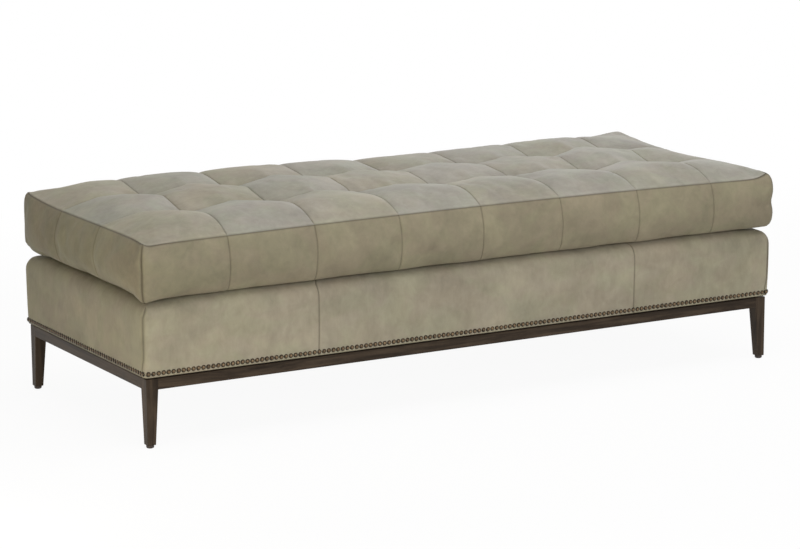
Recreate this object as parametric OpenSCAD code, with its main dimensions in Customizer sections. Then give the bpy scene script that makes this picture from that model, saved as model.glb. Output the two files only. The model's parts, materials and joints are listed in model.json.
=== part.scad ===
// Rectangular bench ottoman: a leather covered box on a slim wooden leg frame, under a loose tufted cushion.
// Millimetres. +X runs along the length, the front faces -Y, and Z is 0 where the glides stand.

/* [Leg frame] */
// Length of the leg frame over its outer faces
frame_l = 1600; // [1100:10:2000]
// Depth of the leg frame over its outer faces
frame_d = 625; // [480:5:800]
// Height of the frame's top edge above the floor
frame_top = 149; // [110:1:240]
// Height of the aprons and of the straight part of each leg
apron_h = 24; // [20:1:40]
// Thickness of the aprons
apron_t = 22; // [16:1:24]
// Side of the square leg at the aprons
leg_w = 27; // [25:1:40]
// Side of the square leg at its foot
leg_foot_w = 19; // [17:1:24]
// Thickness of the tenons on the aprons
tenon_t = 8; // [6:1:10]
// Height of the glide under each leg
glide_h = 7; // [4:0.5:10]
// Diameter of the glide
glide_dia = 17; // [14:0.5:17]
// Diameter of the nail that holds the glide
glide_nail_dia = 3; // [2:0.5:4]
// Length of the nail that holds the glide
glide_nail_l = 18; // [10:1:30]

/* [Base joinery] */
// Height of the cross rails and the corner blocks of the leg frame
cross_h = 20; // [14:1:20]
// Width of a cross rail of the leg frame
cross_w = 40; // [30:1:60]
// Length of the short sides of a corner block of the leg frame
base_block = 70; // [60:1:90]
// Height of the recessed plinth strips
plinth_h = 3; // [2:0.5:8]
// Width of the plinth strips
plinth_w = 30; // [20:1:40]
// Distance of the plinth strips behind the outer faces of the frame
plinth_in = 12; // [6:1:16]
// Diameter of the screws that hold the box on the leg frame
screw_dia = 5; // [4:0.5:6]
// Length of the screws
screw_l = 50; // [40:1:60]
// Diameter of a screw's head
screw_head_dia = 10; // [8:0.5:12]
// Height of a screw's head
screw_head_h = 3; // [2:0.5:4]

/* [Upholstered box] */
// Height of the leather box, from its lower edge to its top
box_h = 162; // [130:1:220]
// How far the lower edge of the leather stands proud of the leg frame
box_over = 5.5; // [3:0.5:10]
// How far the leather swells further out towards the top
box_swell = 3; // [0:0.5:6]
// Radius of the padded top edge
box_edge_r = 30; // [16:1:40]
// Thickness of the leather with its backing
leather_t = 2; // [1.5:0.5:3]
// Width of the leather border on the deck, from the frame's outer face
border_w = 62; // [50:1:90]
// Distance of the two upright leather seams on the front and back from the middle of the tuft pattern
box_seam = 408; // [300:1:480]
// Thickness of the boards of the box
board_t = 22; // [18:1:26]
// Radius of the upright outer corners of the boards
board_corner_r = 10; // [4:0.5:12]
// Height of the cross slats in the box
slat_h = 60; // [50:1:80]
// Length of the short sides of a corner block of the box
box_block = 90; // [80:1:110]
// Thickness of the dust cover
dust_t = 1; // [0.5:0.5:2]
// Distance of the dust cover's edge behind the outer faces of the frame
dust_in = 8; // [4:1:10]

/* [Deck] */
// Thickness of a webbing strap
strap_t = 1.5; // [1:0.5:3]
// Width of a webbing strap
strap_w = 60; // [40:1:80]
// Distance between the straps that run from front to back
strap_pitch = 140; // [100:1:200]
// Thickness of the insulator sheet over the webbing
insulator_t = 2; // [1:0.5:4]
// Thickness of the deck foam
deck_foam_t = 33; // [20:1:50]

/* [Nail trim] */
// Diameter of a nail head
nail_dia = 11; // [8:0.5:13]
// Height of the dome of a nail head
nail_dome = 3; // [2:0.5:4]
// Target distance between neighbouring nails
nail_pitch = 11.5; // [11.5:0.5:20]
// Width of the leather edge that shows below the nail heads
nail_edge = 3; // [2:0.5:6]
// Distance of the last nail from the corner of the box
nail_inset = 8.5; // [8.5:0.5:14]
// Diameter of a nail's shank
nail_shank_dia = 1.6; // [1.2:0.1:2]
// Length of a nail's shank
nail_shank_l = 7; // [5:0.5:7]

/* [Cushion] */
// How far the corners of the cushion stand proud of the leg frame
cushion_over = 6; // [4:0.5:14]
// Height of the cushion from its underside to its top seam
cushion_h = 116; // [80:1:160]
// Height of the crown above the top seam
crown_h = 45; // [30:1:60]
// Distance over which the crown rises from the edge
crown_reach = 120; // [90:1:150]
// How far the long sides and the ends draw in between the corners
draw_in = 4; // [0:0.5:8]
// How far the boxing swells out between its upper and lower seams
boxing_swell = 13; // [2:0.5:16]
// Thickness of the sewn cover
cover_t = 2; // [1:0.5:3]
// Thickness of the fibre batting under the cover
batting_t = 12; // [8:1:20]

/* [Tufting] */
// Distance between the seams of the cushion's square panels
tuft_pitch = 208; // [160:1:260]
// How far the panel pattern sits from the middle along the length
tuft_shift = 12; // [0:1:20]
// Depth of a seam between two tufts
seam_dip = 9; // [2:0.5:14]
// Width over which a seam pulls the top in
seam_w = 30; // [20:1:60]
// Extra depth where a tuft pulls a seam crossing down
tuft_dip = 18; // [8:0.5:26]
// Width over which a tuft pulls the top in
tuft_w = 62; // [40:1:90]
// Diameter of a tufting cord
cord_dia = 2; // [1.5:0.5:4]
// Diameter of the washer that anchors a tufting cord
washer_dia = 32; // [24:1:44]
// Thickness of the washer
washer_t = 2; // [1:0.5:4]

/* [Fits] */
// Clearance round tenons, screws and shanks in their holes
joint_fit = 0.1; // [0.05:0.05:0.3]
// Clearance between soft layers, and under the loose cushion
soft_fit = 0.3; // [0.2:0.1:0.6]

/* [Hidden] */
$fn = 32;
// Shares that place and size the small joinery
tenon_l_share = 0.75;
tenon_h_share = 2 / 3;
cross_x_share = 0.25;
cross_screw_share = 0.25;
block_screw_share = 0.38;
glide_face_share = 0.72;
glide_chamfer_share = 0.3;
box_block_share = 0.7;
// Steps along the padded side and round its top edge
side_steps = 8;
edge_steps = 8;
// Places of the grid lines within a panel of the cushion's top, and within a panel of its boxing
top_shares = [0, 0.16, 0.5, 0.84];
boxing_shares = [0, 0.5];
boxing_rows = 6;
// Shape of the crown, and how much of the swell is left at an upright seam, at a corner and on the foam
crown_power = 2.4;
seam_swell_share = 0.8;
corner_swell_share = 0.7;
foam_swell_share = 0.6;
// How far cutting shapes run past what they cut, as a multiple of the leather's thickness
overrun = 4 * leather_t;

// Leg frame
half_l = frame_l / 2;
half_d = frame_d / 2;
apron_z = frame_top - apron_h;
tenon_l = (leg_w - apron_t / 2 - tenon_t / 2) * tenon_l_share;
tenon_h = apron_h * tenon_h_share;
cross_x = frame_l * cross_x_share;
cross_y = frame_d * cross_screw_share;
cross_z = frame_top - cross_h;
block_screw = apron_t + base_block * block_screw_share;
corners = [[-1, -1], [1, -1], [-1, 1], [1, 1]];
ends = [-1, 1];
screw_places = concat(
    [for (c = corners) [c[0] * (half_l - block_screw), c[1] * (half_d - block_screw)]],
    [for (sx = ends) for (sy = ends) [sx * cross_x, sy * cross_y]]);

// Upholstered box
box_z = frame_top + plinth_h + dust_t;
box_top = box_z + box_h;
rail_p = box_over - leather_t;
board_in = board_t - rail_p;
edge_p = box_over + box_swell - box_edge_r;
edge_z = box_top - box_edge_r;
deck_foam_z = box_top - leather_t - deck_foam_t;
insulator_z = deck_foam_z - insulator_t;
cross_strap_z = insulator_z - strap_t;
long_strap_z = cross_strap_z - strap_t;
straps_across = floor((frame_l - 2 * border_w) / strap_pitch) + 1;
strap_step = (frame_l - 2 * border_w - strap_w) / (straps_across - 1);
long_strap_y = frame_d / 4;
box_block_h = (long_strap_z - box_z) * box_block_share;

// Nail trim
nail_z = box_z + nail_edge + nail_dia / 2;
nail_p = box_over + box_swell * sin(90 * (nail_z - box_z) / (edge_z - box_z));
nail_sphere_r = (pow(nail_dia / 2, 2) + pow(nail_dome, 2)) / (2 * nail_dome);

// Cushion
cushion_l = frame_l + 2 * cushion_over;
cushion_d = frame_d + 2 * cushion_over;
cushion_z = box_top + soft_fit;
seam_z = cushion_z + cushion_h;
panels_along = max(2, round(cushion_l / tuft_pitch));
panels_deep = max(2, round(cushion_d / tuft_pitch));
x_seams = [for (i = [0:panels_along - 2]) (i - (panels_along - 2) / 2) * tuft_pitch + tuft_shift];
y_seams = [for (i = [0:panels_deep - 2]) (i - (panels_deep - 2) / 2) * tuft_pitch];
x_lines = concat([-cushion_l / 2], x_seams, [cushion_l / 2]);
y_lines = concat([-cushion_d / 2], y_seams, [cushion_d / 2]);
tufts = [for (y = y_seams) for (x = x_seams) [x, y]];
cover_in = cover_t + soft_fit;
batting_drop = cover_t + soft_fit;
foam_drop = batting_drop + batting_t + soft_fit;

// Colours, as the photograph shows them or as such pieces are
espresso = "#40382f";
beech = "#c9a878";
leather_tone = "#938c76";
cushion_tone = "#9c9580";
bronze = "#4a3826";
black_cloth = "#232323";
foam_tone = "#e6dcae";
batting_tone = "#f1f1ec";
jute = "#b39a6c";
steel = "#8f9296";
nylon = "#3a2c22";

// Places its children at a corner of the leg frame, with local +X and +Y pointing inwards
module at_corner(c) {
    translate([c[0] * half_l, c[1] * half_d, 0])
        mirror([c[0] > 0 ? 1 : 0, 0, 0])
            mirror([0, c[1] > 0 ? 1 : 0, 0])
                children();
}

// A box that spans the given ranges
module span(x, y, z) {
    translate([x[0], y[0], z[0]])
        cube([x[1] - x[0], y[1] - y[0], z[1] - z[0]]);
}

// One direction of a leg's taper: the outer side stays upright, the inner side leans
module leg_slab() {
    translate([0, leg_w, 0])
        rotate([90, 0, 0])
            linear_extrude(leg_w)
                polygon([[0, glide_h], [leg_foot_w, glide_h], [leg_w, apron_z],
                    [leg_w, frame_top], [0, frame_top]]);
}

// The slot in a leg for the tenon of the apron that runs along X
module mortise() {
    span([leg_w - tenon_l - joint_fit, leg_w + overrun],
        [apron_t / 2 - tenon_t / 2 - joint_fit, apron_t / 2 + tenon_t / 2 + joint_fit],
        [apron_z + (apron_h - tenon_h) / 2 - joint_fit, frame_top - (apron_h - tenon_h) / 2 + joint_fit]);
}

module leg(c) {
    color(espresso) at_corner(c) difference() {
        intersection() {
            leg_slab();
            mirror([1, -1, 0]) leg_slab();
        }
        mortise();
        mirror([1, -1, 0]) mortise();
        translate([leg_foot_w / 2, leg_foot_w / 2, glide_h - overrun])
            cylinder(h = glide_nail_l + overrun + joint_fit, d = glide_nail_dia + 2 * joint_fit);
    }
}

module leg_glides() {
    color(nylon) for (c = corners) at_corner(c) translate([leg_foot_w / 2, leg_foot_w / 2, 0]) {
        cylinder(h = glide_h * glide_chamfer_share, d1 = glide_dia * glide_face_share, d2 = glide_dia);
        translate([0, 0, glide_h * glide_chamfer_share])
            cylinder(h = glide_h * (1 - glide_chamfer_share), d = glide_dia);
        translate([0, 0, glide_h / 2])
            cylinder(h = glide_h / 2 + glide_nail_l, d = glide_nail_dia);
    }
}

// An apron of the frame that runs along X between two legs, at the side -Y of a frame of the given size
module apron(length, depth) {
    inner = length / 2 - leg_w;
    color(espresso) {
        span([-inner, inner], [-depth / 2, apron_t - depth / 2], [apron_z, frame_top]);
        span([-inner - tenon_l, inner + tenon_l],
            [(apron_t - tenon_t - depth) / 2, (apron_t + tenon_t - depth) / 2],
            [apron_z + (apron_h - tenon_h) / 2, frame_top - (apron_h - tenon_h) / 2]);
    }
}

// The holes of the screws that run up through the leg frame into the box
module screw_holes(fit) {
    for (p = screw_places)
        translate([p[0], p[1], cross_z - overrun])
            cylinder(h = screw_l + overrun + fit, d = screw_dia + 2 * fit);
}

// A rail across the leg frame, with a pad on top that carries the middle of the box
module cross_rail(side) {
    reach = half_d - apron_t;
    pad_reach = half_d - plinth_in - plinth_w - soft_fit;
    x = side * cross_x;
    color(beech) difference() {
        union() {
            span([x - cross_w / 2, x + cross_w / 2], [-reach, reach], [cross_z, frame_top]);
            span([x - cross_w / 2, x + cross_w / 2], [-pad_reach, pad_reach],
                [cross_z, frame_top + plinth_h]);
        }
        screw_holes(joint_fit);
    }
}

// A three-cornered glue block that stands in an inner corner
module corner_block(start, size, z, height) {
    translate([start, start, z])
        linear_extrude(height)
            polygon([[0, 0], [size, 0], [0, size]]);
}

module base_corner_blocks() {
    color(beech) difference() {
        for (c = corners) at_corner(c) difference() {
            corner_block(apron_t, base_block, cross_z, cross_h);
            span([0, leg_w + joint_fit], [0, leg_w + joint_fit], [cross_z - overrun, frame_top + overrun]);
        }
        screw_holes(joint_fit);
    }
}

module base_screws() {
    color(steel) for (p = screw_places) translate([p[0], p[1], cross_z]) {
        cylinder(h = screw_l, d = screw_dia);
        translate([0, 0, -screw_head_h])
            cylinder(h = screw_head_h, d = screw_head_dia);
    }
}

module plinth_long(side) {
    y = side * (half_d - plinth_in - plinth_w / 2);
    color(black_cloth)
        span([plinth_in - half_l, half_l - plinth_in], [y - plinth_w / 2, y + plinth_w / 2],
            [frame_top, frame_top + plinth_h]);
}

module plinth_short(side) {
    x = side * (half_l - plinth_in - plinth_w / 2);
    reach = half_d - plinth_in - plinth_w;
    color(black_cloth)
        span([x - plinth_w / 2, x + plinth_w / 2], [-reach, reach], [frame_top, frame_top + plinth_h]);
}

module dust_cover() {
    color(black_cloth) difference() {
        span([dust_in - half_l, half_l - dust_in], [dust_in - half_d, half_d - dust_in],
            [box_z - dust_t, box_z]);
        screw_holes(joint_fit);
    }
}

// A long board of the box, with its two outer corners rounded so that they don't mark the leather
module box_long_rail(side) {
    reach = half_l + rail_p;
    outer = half_d + rail_p;
    left = [for (i = [0:edge_steps]) let (a = 90 * i / edge_steps)
        [board_corner_r * (1 - cos(a)) - reach, board_corner_r * (1 - sin(a)) - outer]];
    right = [for (p = backwards(left)) [-p[0], p[1]]];
    color(beech) mirror([0, side > 0 ? 1 : 0, 0]) translate([0, 0, box_z])
        linear_extrude(cross_strap_z - box_z)
            polygon(concat([[-reach, board_t - outer]], left, right, [[reach, board_t - outer]]));
}

module box_short_rail(side) {
    x = side * (half_l + rail_p - board_t / 2);
    reach = half_d - board_in;
    color(beech)
        span([x - board_t / 2, x + board_t / 2], [-reach, reach], [box_z, long_strap_z]);
}

module box_corner_blocks() {
    color(beech) difference() {
        for (c = corners) at_corner(c) corner_block(board_in, box_block, box_z, box_block_h);
        screw_holes(joint_fit);
    }
}

module cross_slat(place) {
    reach = half_d - board_in;
    x = place * cross_x;
    color(beech) difference() {
        span([x - board_t / 2, x + board_t / 2], [-reach, reach], [box_z, box_z + slat_h]);
        screw_holes(joint_fit);
    }
}

module crosswise_webbing() {
    reach = half_d + rail_p - board_t / 4;
    color(jute) for (i = [0:straps_across - 1]) {
        x = (i - (straps_across - 1) / 2) * strap_step;
        span([x - strap_w / 2, x + strap_w / 2], [-reach, reach], [cross_strap_z, insulator_z]);
    }
}

module lengthwise_webbing() {
    reach = half_l + rail_p - board_t / 4;
    color(jute) for (i = [-1:1]) {
        y = i * long_strap_y;
        span([-reach, reach], [y - strap_w / 2, y + strap_w / 2], [long_strap_z, cross_strap_z]);
    }
}

module deck_insulator() {
    color(jute)
        span([-half_l, half_l], [-half_d, half_d], [insulator_z, deck_foam_z]);
}

module deck_layer(low, high) {
    span([border_w - half_l, half_l - border_w], [border_w - half_d, half_d - border_w], [low, high]);
}

module deck_foam() {
    color(foam_tone) deck_layer(deck_foam_z, box_top - leather_t);
}

module deck_cloth() {
    color(black_cloth) deck_layer(box_top - leather_t, box_top);
}

// Outline of the padded side, a given depth under its surface: distances out of the frame's face, and heights
function skin(depth) = concat(
    [for (i = [0:side_steps])
        [box_over + box_swell * sin(90 * i / side_steps) - depth, box_z + (edge_z - box_z) * i / side_steps]],
    [for (a = [1:edge_steps])
        [edge_p + (box_edge_r - depth) * cos(90 * a / edge_steps),
         edge_z + (box_edge_r - depth) * sin(90 * a / edge_steps)]]);
function backwards(list) = [for (i = [len(list) - 1:-1:0]) list[i]];

leather_outline = concat(
    skin(0), [[-border_w, box_top], [-border_w, box_top - leather_t]], backwards(skin(leather_t)));
foam_skin = skin(leather_t);
edge_foam_outline = concat(
    [for (i = [1:len(foam_skin) - 1]) foam_skin[i]],
    [[-border_w, box_top - leather_t], [-border_w, deck_foam_z],
        [rail_p, deck_foam_z], [rail_p, foam_skin[1][1]]]);

// Runs an outline along the side -Y of a frame of the given size, with mitred corners
module side_run(outline, length, depth, from, to) {
    wide = border_w + overrun;
    intersection() {
        translate([from, 0, 0])
            rotate([90, 0, 90])
                linear_extrude(to - from)
                    polygon([for (p = outline) [-depth / 2 - p[0], p[1]]]);
        translate([0, 0, box_z - overrun])
            linear_extrude(box_h + 2 * overrun)
                polygon([[-length / 2 - wide, -depth / 2 - wide], [length / 2 + wide, -depth / 2 - wide],
                    [length / 2 - wide, wide - depth / 2], [wide - length / 2, wide - depth / 2]]);
    }
}

module front_run(outline, from, to) side_run(outline, frame_l, frame_d, from, to);

// The back is the front seen in a mirror, so that its seams line up with those of the front
module back_run(outline, from, to) mirror([0, 1, 0]) side_run(outline, frame_l, frame_d, from, to);

module end_run(outline, side) {
    reach = half_d + border_w;
    rotate([0, 0, 90 * side])
        side_run(outline, frame_d, frame_l, -reach, reach);
}

seam_left = tuft_shift - box_seam;
seam_right = tuft_shift + box_seam;
run_end = half_l + border_w;

module front_leather(from, to) {
    color(leather_tone) front_run(leather_outline, from, to);
}

module back_leather(from, to) {
    color(leather_tone) back_run(leather_outline, from, to);
}

module end_leather(side) {
    color(leather_tone) end_run(leather_outline, side);
}

module front_edge_foam() {
    color(foam_tone) front_run(edge_foam_outline, -run_end, run_end);
}

module back_edge_foam() {
    color(foam_tone) back_run(edge_foam_outline, -run_end, run_end);
}

module end_edge_foam(side) {
    color(foam_tone) end_run(edge_foam_outline, side);
}

// A domed nail whose head sits on the plane Z = 0
module nail() {
    intersection() {
        translate([0, 0, nail_dome - nail_sphere_r]) sphere(r = nail_sphere_r);
        translate([-nail_dia, -nail_dia, 0]) cube([2 * nail_dia, 2 * nail_dia, 2 * nail_dome]);
    }
    translate([0, 0, -nail_shank_l])
        cylinder(h = nail_shank_l + nail_dome / 2, d = nail_shank_dia);
}

// A row of nails along the side -Y of a frame of the given size
module nail_row(length, depth) {
    reach = length + 2 * nail_p - 2 * nail_inset;
    gaps = floor(reach / max(nail_pitch, nail_dia));
    color(bronze) for (i = [0:gaps])
        translate([reach * (i / gaps - 1 / 2), -depth / 2 - nail_p, nail_z])
            rotate([90, 0, 0]) nail();
}

// Moves a point of the cushion's plan inwards where the sides draw in between the corners
function drawn(x, y) = [
    x * (1 - 2 * draw_in / cushion_l * (1 - pow(2 * y / cushion_d, 2))),
    y * (1 - 2 * draw_in / cushion_d * (1 - pow(2 * x / cushion_l, 2)))];
// How much of the crown is reached at a distance from the edge, from 0 to 1
function rise(edge) = 1 - pow(1 - min(1, edge / crown_reach), crown_power);
function near(distance, width) = exp(-pow(distance / width, 2));
function nearest(value, list) = min([for (s = list) abs(value - s)]);
// Height of the cushion's top: a crown, drawn down along the seams and most of all at the tufts
function crown_z(x, y) =
    let (risen = rise(cushion_l / 2 - abs(x)) * rise(cushion_d / 2 - abs(y)))
    let (dx = nearest(x, x_seams), dy = nearest(y, y_seams))
    let (seams = seam_dip * max(near(dx, seam_w), near(dy, seam_w)))
    let (tuft = tuft_dip * near(norm([dx, dy]), tuft_w))
    seam_z + risen * (crown_h - seams - tuft);

// Grid lines across the panels, at the given shares of each
function grid(lines, shares) = concat(
    [for (i = [0:len(lines) - 2]) for (s = shares) lines[i] + (lines[i + 1] - lines[i]) * s],
    [lines[len(lines) - 1]]);
grid_x = grid(x_lines, top_shares);
grid_y = grid(y_lines, top_shares);
nx = len(grid_x);
ny = len(grid_y);
function held(value, limit) = sign(value) * min(abs(value), limit);
// The points of the cushion's top, lowered by a drop, with the outer ones moved in by an inset
function top_points(drop, inset) = [for (y = grid_y) for (x = grid_x)
    let (p = drawn(held(x, cushion_l / 2 - inset), held(y, cushion_d / 2 - inset)))
    [p[0], p[1], crown_z(x, y) - drop]];
// The grid's outer points, anticlockwise from above
rim = concat([for (i = [0:nx - 1]) i], [for (j = [1:ny - 1]) j * nx + nx - 1],
    [for (i = [nx - 2:-1:0]) (ny - 1) * nx + i], [for (j = [ny - 2:-1:1]) j * nx]);
rim_count = len(rim);
top_faces = [for (j = [0:ny - 2]) for (i = [0:nx - 2]) let (a = j * nx + i)
    each [[a, a + nx, a + nx + 1], [a, a + nx + 1, a + 1]]];

// A sheet that follows the cushion's top, between two drops below it
module quilted_sheet(drop, thickness, inset) {
    count = nx * ny;
    walls = [for (k = [0:rim_count - 1]) let (p = rim[k], q = rim[(k + 1) % rim_count])
        each [[p + count, p, q], [p + count, q, q + count]]];
    under = [for (f = top_faces) [f[2] + count, f[1] + count, f[0] + count]];
    points = concat(top_points(drop, inset), top_points(drop + thickness, inset));
    polyhedron(points, concat(top_faces, under, walls));
}

// A block with the cushion's top, sides that swell and a flat underside
module quilted_block(drop, low, inset, swell) {
    count = nx * ny;
    tops = top_points(drop, inset);
    rings = [for (r = [1:boxing_rows]) for (k = rim)
        let (p = tops[k], out = 2 * swell * sin(180 * r / boxing_rows))
        [p[0] * (1 + out / cushion_l), p[1] * (1 + out / cushion_d), p[2] + (low - p[2]) * r / boxing_rows]];
    function on(r, k) = r == 0 ? rim[k % rim_count] : count + (r - 1) * rim_count + k % rim_count;
    walls = [for (r = [0:boxing_rows - 1]) for (k = [0:rim_count - 1])
        each [[on(r + 1, k), on(r, k), on(r, k + 1)], [on(r + 1, k), on(r, k + 1), on(r + 1, k + 1)]]];
    base = [for (k = [0:rim_count - 1])
        [count + boxing_rows * rim_count, on(boxing_rows, k), on(boxing_rows, k + 1)]];
    polyhedron(concat(tops, rings, [[0, 0, low]]), concat(top_faces, walls, base));
}

module cushion_top() {
    color(cushion_tone) quilted_sheet(0, cover_t, 0);
}

module cushion_batting() {
    color(batting_tone) quilted_sheet(batting_drop, batting_t, cover_in);
}

module cushion_foam() {
    color(foam_tone) quilted_block(foam_drop, cushion_z + cover_t, cover_in, foam_swell_share * boxing_swell);
}

// Grid lines of the boxing along the length and along the depth
boxing_x = grid(x_lines, boxing_shares);
boxing_y = grid(y_lines, boxing_shares);

// One side of the boxing as rows of points: along a side from corner to corner, and up from seam to seam.
// Each place along the side holds its plan point, its outward direction and its share of the swell.
module boxing(places) {
    count = len(places);
    last = count - 1;
    low = cushion_z + cover_t;
    high = seam_z - cover_t;
    function at(s, k, depth) =
        let (p = places[s], out = boxing_swell * p[2] * sin(180 * k / boxing_rows) - depth)
        [p[0][0] + p[1][0] * out, p[0][1] + p[1][1] * out, low + (high - low) * k / boxing_rows];
    function o(s, k) = s * (boxing_rows + 1) + k;
    inner = count * (boxing_rows + 1);
    points = concat([for (s = [0:last]) for (k = [0:boxing_rows]) at(s, k, 0)],
        [for (s = [0:last]) for (k = [0:boxing_rows]) at(s, k, cover_t)]);
    outside = [for (s = [0:last - 1]) for (k = [0:boxing_rows - 1])
        each [[o(s, k), o(s, k + 1), o(s + 1, k + 1)], [o(s, k), o(s + 1, k + 1), o(s + 1, k)]]];
    inside = [for (f = outside) [f[2] + inner, f[1] + inner, f[0] + inner]];
    top = [for (s = [0:last - 1]) let (a = o(s, boxing_rows), b = o(s + 1, boxing_rows))
        each [[a, a + inner, b + inner], [a, b + inner, b]]];
    bottom = [for (s = [0:last - 1]) let (a = o(s, 0), b = o(s + 1, 0))
        each [[b, b + inner, a + inner], [b, a + inner, a]]];
    start = [for (k = [0:boxing_rows - 1]) let (a = o(0, k), b = o(0, k + 1))
        each [[a + inner, b + inner, b], [a + inner, b, a]]];
    finish = [for (k = [0:boxing_rows - 1]) let (a = o(last, k), b = o(last, k + 1))
        each [[b + inner, a + inner, a], [b + inner, a, b]]];
    polyhedron(points, concat(outside, inside, top, bottom, start, finish));
}

function swell_at(place, seams) = nearest(place, seams) < cover_t ? seam_swell_share : 1;
// Places along the front, from left to right
front_places = [for (i = [0:len(boxing_x) - 1])
    let (x = boxing_x[i], turn = i == 0 ? -1 : i == len(boxing_x) - 1 ? 1 : 0)
    [drawn(x, -cushion_d / 2), [turn, -1], turn == 0 ? swell_at(x, x_seams) : corner_swell_share]];
// Places along the right end, from front to back
right_places = [for (i = [0:len(boxing_y) - 1])
    let (y = boxing_y[i], turn = i == 0 ? -1 : i == len(boxing_y) - 1 ? 1 : 0)
    [drawn(cushion_l / 2, y), [1, turn], turn == 0 ? swell_at(y, y_seams) : corner_swell_share]];
function turned(p, sx, sy) = [[p[0][0] * sx, p[0][1] * sy], [p[1][0] * sx, p[1][1] * sy], p[2]];

module cushion_front_boxing() {
    color(cushion_tone) boxing(front_places);
}

module cushion_back_boxing() {
    color(cushion_tone) boxing(backwards([for (p = front_places) turned(p, 1, -1)]));
}

module cushion_right_boxing() {
    color(cushion_tone) boxing(right_places);
}

module cushion_left_boxing() {
    color(cushion_tone) boxing(backwards([for (p = right_places) turned(p, -1, 1)]));
}

module cushion_underside() {
    outline = concat([for (p = front_places) p[0]], [for (i = [1:len(right_places) - 2]) right_places[i][0]],
        [for (p = backwards(front_places)) [p[0][0], -p[0][1]]],
        [for (i = [len(right_places) - 2:-1:1]) [-right_places[i][0][0], right_places[i][0][1]]]);
    color(cushion_tone) translate([0, 0, cushion_z])
        linear_extrude(cover_t)
            polygon(outline);
}

module tuft_cords() {
    low = cushion_z + cover_t;
    color(jute) for (t = tufts) {
        p = drawn(t[0], t[1]);
        translate([p[0], p[1], low])
            cylinder(h = crown_z(t[0], t[1]) - cover_t - low, d = cord_dia);
    }
}

module tuft_washers() {
    color(nylon) for (t = tufts) {
        p = drawn(t[0], t[1]);
        translate([p[0], p[1], cushion_z + cover_t]) difference() {
            cylinder(h = washer_t, d = washer_dia);
            translate([0, 0, -overrun])
                cylinder(h = washer_t + 2 * overrun, d = cord_dia + 2 * joint_fit);
        }
    }
}

leg(corners[0]);  // front_left_leg
leg(corners[1]);  // front_right_leg
leg(corners[2]);  // back_left_leg
leg(corners[3]);  // back_right_leg
apron(frame_l, frame_d);  // front_apron
rotate([0, 0, 180]) apron(frame_l, frame_d);  // back_apron
rotate([0, 0, -90]) apron(frame_d, frame_l);  // left_apron
rotate([0, 0, 90]) apron(frame_d, frame_l);  // right_apron
cross_rail(-1);  // left_cross_rail
cross_rail(1);  // right_cross_rail
base_corner_blocks();
leg_glides();
base_screws();
plinth_long(-1);  // front_plinth
plinth_long(1);  // back_plinth
plinth_short(-1);  // left_plinth
plinth_short(1);  // right_plinth
dust_cover();
box_long_rail(-1);  // box_front_rail
box_long_rail(1);  // box_back_rail
box_short_rail(-1);  // box_left_rail
box_short_rail(1);  // box_right_rail
box_corner_blocks();
cross_slat(-1);  // left_cross_slat
cross_slat(0);  // middle_cross_slat
cross_slat(1);  // right_cross_slat
lengthwise_webbing();
crosswise_webbing();
deck_insulator();
deck_foam();
deck_cloth();
front_edge_foam();
back_edge_foam();
end_edge_foam(-1);  // left_edge_foam
end_edge_foam(1);  // right_edge_foam
front_leather(-run_end, seam_left);  // front_left_leather
front_leather(seam_left, seam_right);  // front_middle_leather
front_leather(seam_right, run_end);  // front_right_leather
back_leather(-run_end, seam_left);  // back_left_leather
back_leather(seam_left, seam_right);  // back_middle_leather
back_leather(seam_right, run_end);  // back_right_leather
end_leather(-1);  // left_end_leather
end_leather(1);  // right_end_leather
nail_row(frame_l, frame_d);  // front_nail_row
rotate([0, 0, 180]) nail_row(frame_l, frame_d);  // back_nail_row
rotate([0, 0, -90]) nail_row(frame_d, frame_l);  // left_nail_row
rotate([0, 0, 90]) nail_row(frame_d, frame_l);  // right_nail_row
cushion_top();
cushion_front_boxing();
cushion_back_boxing();
cushion_left_boxing();
cushion_right_boxing();
cushion_underside();
cushion_batting();
cushion_foam();
tuft_cords();
tuft_washers();
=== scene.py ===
"""A long leather ottoman, dressed around its packed construction model.

The construction model gives every size and place. This script gives the finishes, the padded leather box, the
trim nails, the dark wood leg frame and the loose tufted cushion, whose cover is puffed by a cloth simulation.
All lengths are metres, in the frame of the construction model: +X along the length, the front towards -Y, +Z up.
"""

import json
import logging
import math
from collections.abc import Callable, Sequence
from dataclasses import dataclass, field
from enum import Enum
from functools import reduce

import bmesh
import bpy
import numpy as np
from mathutils import Matrix, Vector


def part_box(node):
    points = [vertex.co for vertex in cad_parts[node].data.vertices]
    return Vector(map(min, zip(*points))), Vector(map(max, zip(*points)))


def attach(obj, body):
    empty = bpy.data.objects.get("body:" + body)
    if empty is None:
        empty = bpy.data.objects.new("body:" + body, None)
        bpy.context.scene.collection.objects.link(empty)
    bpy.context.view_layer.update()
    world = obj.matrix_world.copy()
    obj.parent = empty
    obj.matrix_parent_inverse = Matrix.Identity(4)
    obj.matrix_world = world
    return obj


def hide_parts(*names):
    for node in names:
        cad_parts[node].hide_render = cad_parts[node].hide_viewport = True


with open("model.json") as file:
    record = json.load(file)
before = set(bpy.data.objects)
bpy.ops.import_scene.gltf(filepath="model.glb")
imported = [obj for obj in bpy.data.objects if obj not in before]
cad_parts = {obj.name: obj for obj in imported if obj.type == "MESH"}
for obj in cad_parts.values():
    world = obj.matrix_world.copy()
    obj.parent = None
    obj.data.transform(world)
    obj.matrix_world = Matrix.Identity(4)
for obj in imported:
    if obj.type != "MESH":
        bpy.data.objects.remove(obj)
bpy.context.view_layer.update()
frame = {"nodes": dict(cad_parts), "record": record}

LOG = logging.getLogger("ottoman")
MM = 0.001
BASE = "base"
CUSHION = "cushion"

Rgba = tuple[float, float, float, float]
BySide = tuple[float, float, float, float]
Pair = tuple[float, float]
Row = tuple[float, ...]
Table = tuple[Row, ...]
Array = np.ndarray


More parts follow.
